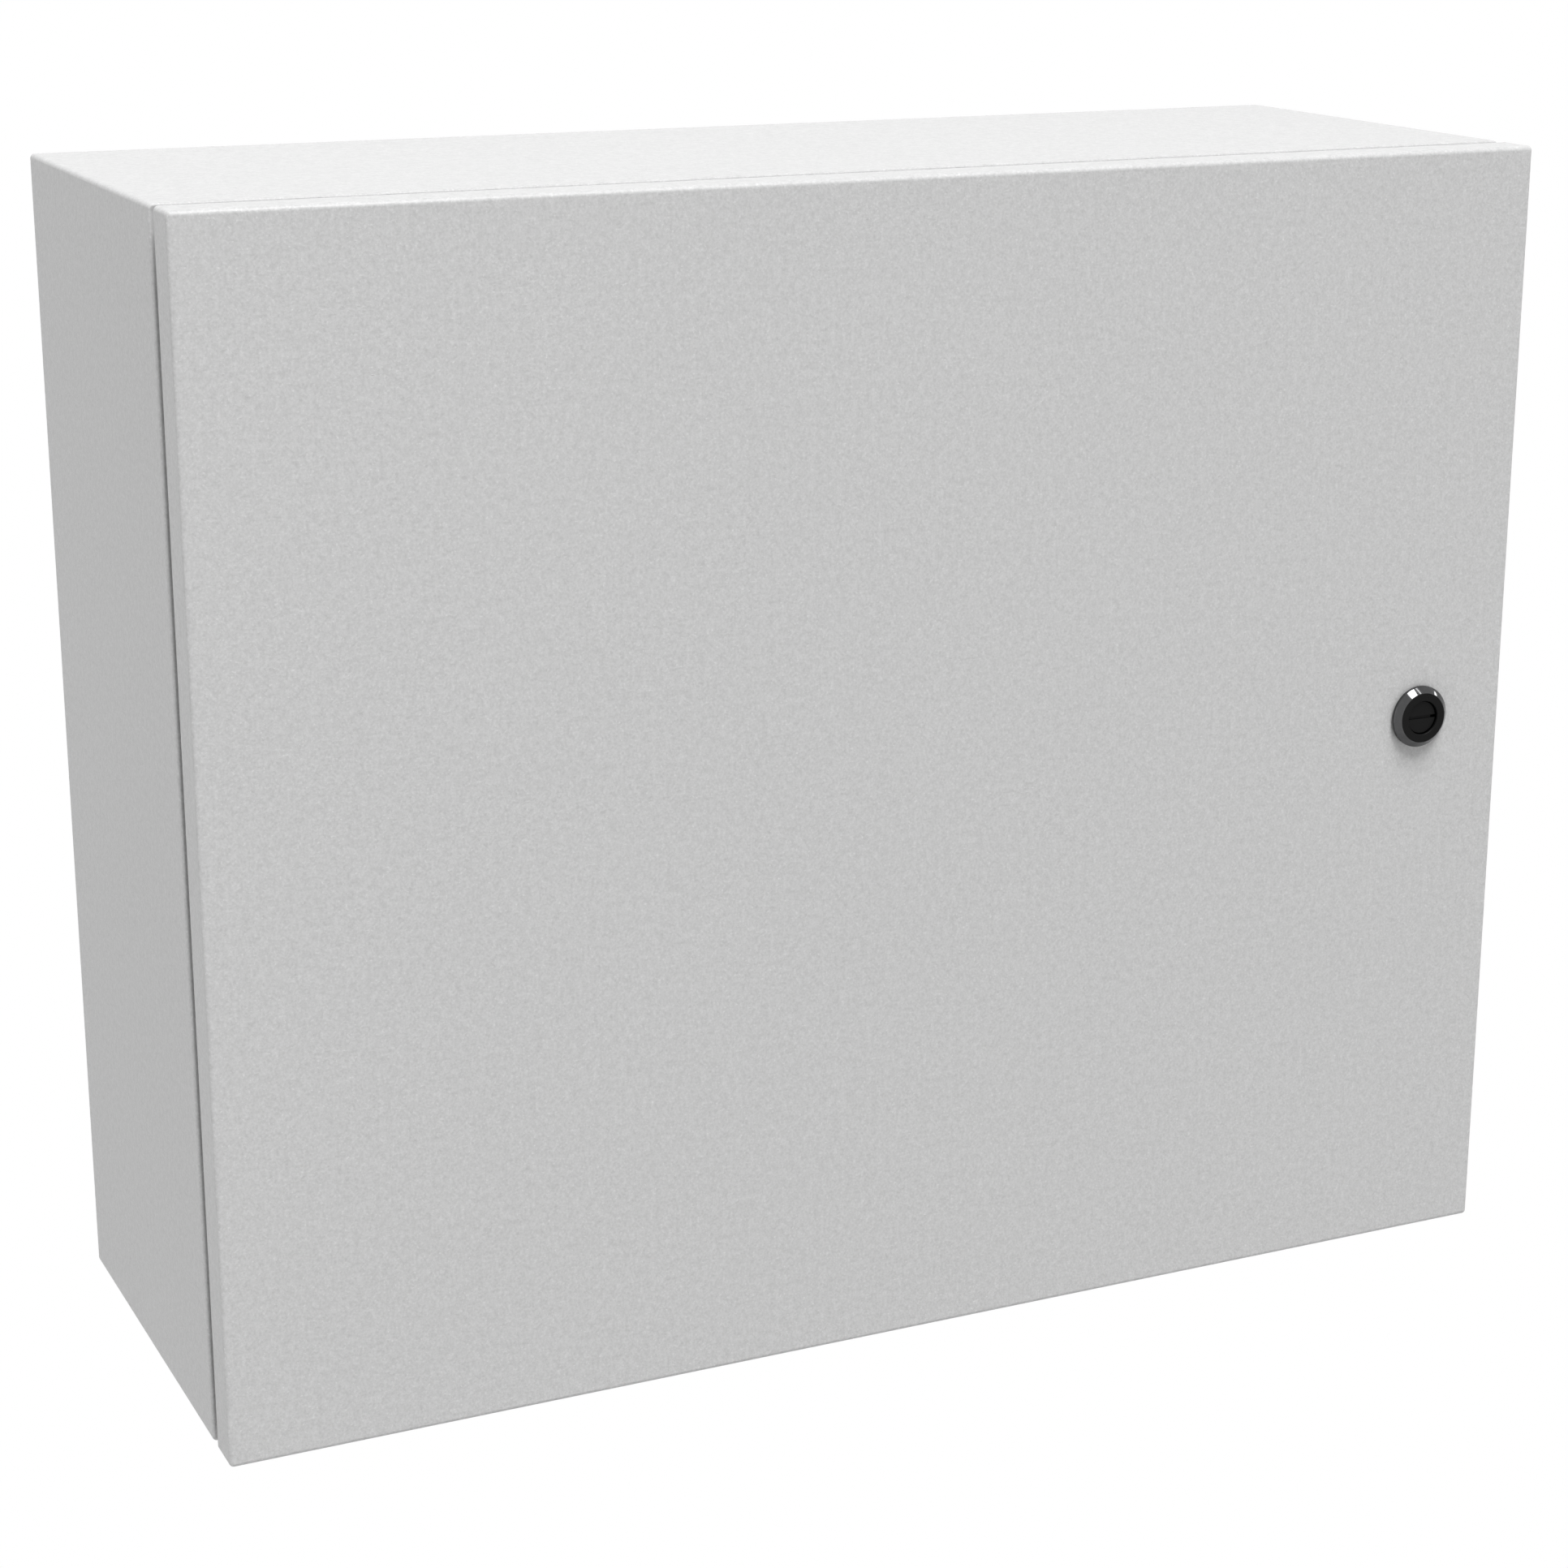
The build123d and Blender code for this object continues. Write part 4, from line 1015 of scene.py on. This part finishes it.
def add_gasket():
    """The foamed seal: a soft bead of slightly uneven height round the door's inside."""
    low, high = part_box("door_gasket")
    rise = high.y - low.y
    inset = GASKET_WIDTH / 2
    path = rounded_path(high.x - inset, high.z - inset, GASKET_CORNER, GASKET_STEP)
    rings = []
    for index, (place, outward) in enumerate(path):
        waves = [1 + math.sin(index * rate + start) for rate, start in GASKET_WAVES]
        scale = 1.0 - GASKET_WAVER / rise * sum(waves) / 2 / len(waves)
        rings.append([
            (place.x + outward.x * across, low.y + height * scale, place.y + outward.y * across)
            for across, height in gasket_section(rise)
        ])
    mesh = ringed_mesh("door_seal_foam", rings, "gasket_foam", closed=True)
    dress(add_object("door_seal_foam", mesh), "door", "gasket_foam", "door_gasket")


def add_welds(name, body, runs):
    """Weld beads along straight runs, coated with the sheet that they join."""
    points = [point for run in runs for point in run]
    edges = [(2 * index, 2 * index + 1) for index in range(len(runs))]
    piece = WELDS.grow(name, points_mesh(name + "_runs", points, edges), {
        "Radius": WELD_RADIUS,
        "Pitch": WELD_PITCH,
        "Material": FINISHES["powder_coat"],
    })
    dress(piece, body, "powder_coat")


def bracket_weld_runs():
    """Runs at both ends of each hinge bracket's leg, on the collar."""
    runs = []
    for level in ("upper", "lower"):
        low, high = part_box("hinge_bracket_" + level)
        rear = high.y - BRACKET_WELD_REAR_GAP
        front = low.y + BRACKET_WELD_FRONT_GAP
        for height in (low.z, high.z):
            runs.append(((high.x, rear, height), (high.x, front, height)))
    return runs


def leaf_weld_runs():
    """Runs at both ends of each hinge leaf's foot, on the door."""
    runs = []
    for level in ("upper", "lower"):
        low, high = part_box("hinge_leaf_" + level)
        for height in (low.z, high.z):
            runs.append(((high.x - LEAF_FOOT, low.y, height), (high.x, low.y, height)))
    return runs


def rail_weld_runs():
    """Short runs down both sides of each door rail."""
    runs = []
    for side in ("left", "right"):
        low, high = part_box("door_rail_" + side)
        middle = (low.z + high.z) / 2
        reach = (high.z - low.z) / 2 - RAIL_WELD_LENGTH
        for edge in (low.x, high.x):
            for centre in (middle - reach, middle, middle + reach):
                start = (edge, low.y, centre - RAIL_WELD_LENGTH / 2)
                end = (edge, low.y, centre + RAIL_WELD_LENGTH / 2)
                runs.append((start, end))
    return runs


def barrel_reach(height):
    """The radius of the threaded barrel at a height, as a function of the angle, with its two flats."""

    def reach(angle):
        wave = abs((height / BARREL_PITCH - angle / FULL_TURN) % 1.0 - 0.5) * 2
        thread = BARREL_RADIUS - BARREL_PITCH * THREAD_DEPTH_SHARE * wave
        half_flats = BARREL_FLATS / 2
        return thread * half_flats / max(half_flats, thread * abs(math.sin(angle)))

    return reach


def barrel_profile(rear):
    """The profile of the threaded barrel, from its inner end to the neck behind the bezel."""
    neck = BARREL_RADIUS - BARREL_PITCH
    rows = int((rear - 2 * BARREL_PITCH) / BARREL_PITCH * THREAD_ROWS_PER_PITCH)
    profile = [(SHAFT_BORE_RADIUS, 0.0), (neck, 0.0)]
    for row in range(rows + 1):
        height = BARREL_PITCH / 2 + row * BARREL_PITCH / THREAD_ROWS_PER_PITCH
        profile.append((barrel_reach(height), height))
    return profile + [(neck, rear - BARREL_PITCH), (neck, rear)]


def cone_profile(rim, rear, front):
    """The profile of the bezel: an upright rim and a cone, with eased edges."""
    top = rear + BEZEL_RIM
    ease = Vector((BEZEL_FRONT_RADIUS - rim, front - top)).normalized() * BEZEL_EASE
    return [
        (rim - BEZEL_EASE, rear),
        (rim, rear + BEZEL_EASE),
        (rim, top - BEZEL_EASE),
        (rim + ease.x, top + ease.y),
        (BEZEL_FRONT_RADIUS - ease.x, front - ease.y),
        (BEZEL_FRONT_RADIUS, front),
    ]


def pocket_profile(front, shoulder, step):
    """The profile of the pocket for the face ring, and of the stepped bore behind it."""
    return [
        (FACE_POCKET_RADIUS, front),
        (FACE_POCKET_RADIUS, shoulder),
        (ROTOR_BORE_RADIUS, shoulder),
        (ROTOR_BORE_RADIUS, step),
        (SHAFT_BORE_RADIUS, step),
    ]


def add_bezel():
    """The latch housing: a plated bezel with eased edges on a threaded barrel with two flats."""
    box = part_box("latch_housing")
    inner_end = box[1].y
    rear = inner_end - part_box("latch_seal")[0].y
    front = length_along(box, FRONT)
    shoulder = inner_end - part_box("latch_face_ring")[1].y
    profile = barrel_profile(rear) + cone_profile((box[1].x - box[0].x) / 2, rear, front)
    profile += pocket_profile(front, shoulder, inner_end - ROTOR_SHOULDER_PLACE)
    mesh = turned_mesh("latch_bezel", profile, "bezel_chrome", BEZEL_SEGMENTS)
    mesh.transform(axis_frame(seat(box, FRONT), FRONT, RIGHT))
    bezel = add_object("latch_bezel", mesh)
    weigh_normals(bezel)
    dress(bezel, "door", "bezel_chrome", "latch_housing")


def add_latch_rings():
    """The black face ring and the rubber ring under the bezel."""
    for node, bore, ease in (
        ("latch_face_ring", FACE_RING_HOLE, FACE_EASE),
        ("latch_seal", SEAL_BORE, SEAL_EASE),
    ):
        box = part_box(node)
        slot = node_slot(node)
        outer = size_across(box, FRONT) / 2
        profile = washer_profile(outer, bore / 2, length_along(box, FRONT), ease)
        mesh = turned_mesh(node + "_turned", profile, slot, BEZEL_SEGMENTS)
        mesh.transform(axis_frame(seat(box, FRONT), FRONT, RIGHT))
        piece = add_object(node + "_turned", mesh)
        weigh_normals(piece)
        dress(piece, "door", slot, node)


def add_cam_screw():
    """The screw that holds the cam: a hexagon head with domed corners on a plain shank."""
    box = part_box("cam_screw")
    length = length_along(box, BACK)
    neck = length - CAM_SCREW_HEAD
    outline = hex_reach(CAM_SCREW_ACROSS)
    crown = CAM_SCREW_ACROSS / 2 * NUT_CROWN_SHARE
    drop = corner_drop(outline, crown)
    profile = [
        (CAM_SCREW_RADIUS - THREAD_TIP, 0.0),
        (CAM_SCREW_RADIUS, THREAD_TIP),
        (CAM_SCREW_RADIUS, neck),
        (outline, neck),
        (outline, lambda angle: length - drop(angle)),
        (crown, length),
    ]
    mesh = turned_mesh("cam_screw_turned", profile, "zinc_steel", closed=False)
    mesh.transform(axis_frame(seat(box, BACK), BACK, RIGHT))
    dress(add_object("cam_screw_turned", mesh), "latch", "zinc_steel", "cam_screw")


def add_pieces():
    """Everything that the plain solids lack."""
    coat_nodes()
    add_body()
    for node, direction, pitch in (
        ("plate_studs", FRONT, M8_PITCH),
        ("gland_studs", UP, M5_PITCH),
        ("earth_stud", UP, M8_PITCH),
        ("door_earth_stud", BACK, M8_PITCH),
    ):
        add_studs(node, direction, pitch)
    add_nuts()
    add_washers()
    add_hinge_pins()
    add_door_rails()
    add_gasket()
    add_welds("bracket_welds", "cabinet", bracket_weld_runs())
    add_welds("leaf_welds", "door", leaf_weld_runs())
    add_welds("rail_welds", "door", rail_weld_runs())
    add_bezel()
    add_latch_rings()
    add_cam_screw()
    for node, width in EASED_NODES.items():
        eased_copy(node, width)


def add_camera():
    """The camera at the photograph's place."""
    lens = bpy.data.cameras.new("camera")
    lens.sensor_width = CAMERA_SENSOR
    lens.lens = CAMERA_LENS
    lens.shift_x, lens.shift_y = CAMERA_SHIFT
    camera = add_object("camera", lens)
    back = -CAMERA_FORWARD
    camera.matrix_world = axis_frame(CAMERA_PLACE, back, CAMERA_UP.cross(back))
    bpy.context.scene.camera = camera


def background_ray(graph):
    """1 for a ray that shows the background: one from the camera, a gloss or a glass."""
    rays = graph.node("ShaderNodeLightPath")
    kinds = ("Is Camera Ray", "Is Glossy Ray", "Is Transmission Ray")
    camera, gloss, glass = (Link(graph, rays.outputs[kind]) for kind in kinds)
    return graph.maths("MAXIMUM", graph.maths("MAXIMUM", camera, gloss), glass)


def add_world():
    """Even light from all round, with a white background."""
    world = bpy.data.worlds.new("studio")
    bpy.context.scene.world = world
    world.use_nodes = True
    sky = Graph(world.node_tree)
    sky.tree.nodes.clear()
    shade = background_ray(sky) * (1.0 - AMBIENT_SHADE) + AMBIENT_SHADE
    light = sky.out("ShaderNodeBackground", 0, None, {"Color": WHITE, "Strength": shade})
    sky.node("ShaderNodeOutputWorld", None, {"Surface": light})


def floor_finish():
    """Pale floor that fades to the white background away from the cabinet."""
    floor = Finish("pale_floor")
    split = floor.node("ShaderNodeSeparateXYZ", None, {0: floor.place})
    x, y = (Link(floor, split.outputs[index]) for index in (0, 1))
    away = floor.maths("SQRT", x * x + y * y)
    fade = floor.out("ShaderNodeMapRange", 0, {"interpolation_type": "SMOOTHSTEP"}, {
        "Value": away,
        "From Min": FLOOR_FADE_START,
        "From Max": FLOOR_FADE_END,
        "To Min": FLOOR_FADE_LEAST,
        "To Max": 1.0,
    })
    shade = (FLOOR_SHADE, FLOOR_SHADE, FLOOR_SHADE, 1.0)
    matt = floor.out("ShaderNodeBsdfDiffuse", 0, None, {"Color": shade})
    white = floor.out("ShaderNodeEmission", 0, None, {"Color": WHITE, "Strength": 1.0})
    both = floor.out("ShaderNodeMixShader", 0, None, {0: fade * background_ray(floor), 1: matt, 2: white})
    floor.node("ShaderNodeOutputMaterial", None, {"Surface": both})
    return floor.material


def add_floor():
    """A plain floor under the cabinet."""
    sides = ((-1, -1), (1, -1), (1, 1), (-1, 1))
    corners = [(x * FLOOR_REACH, y * FLOOR_REACH, FLOOR_HEIGHT) for x, y in sides]
    mesh = bpy.data.meshes.new("floor")
    mesh.from_pydata(corners, [], [(0, 1, 2, 3)])
    mesh.materials.append(floor_finish())
    add_object("floor", mesh)


def add_softbox(name, place, target, width, height, radiance):
    """A rectangular soft light that faces a target."""
    lamp = bpy.data.lights.new(name, "AREA")
    lamp.shape = "RECTANGLE"
    lamp.size = width
    lamp.size_y = height
    lamp.energy = radiance * math.pi * width * height
    light = add_object(name, lamp)
    light.location = place
    light.rotation_mode = "QUATERNION"
    light.rotation_quaternion = (Vector(target) - Vector(place)).to_track_quat("-Z", "Y")


def add_stage():
    """Floor, lights and background."""
    add_world()
    add_floor()
    for softbox in SOFTBOXES:
        add_softbox(*softbox)
    bpy.context.scene.view_settings.view_transform = "Standard"


add_pieces()
add_camera()
add_stage()
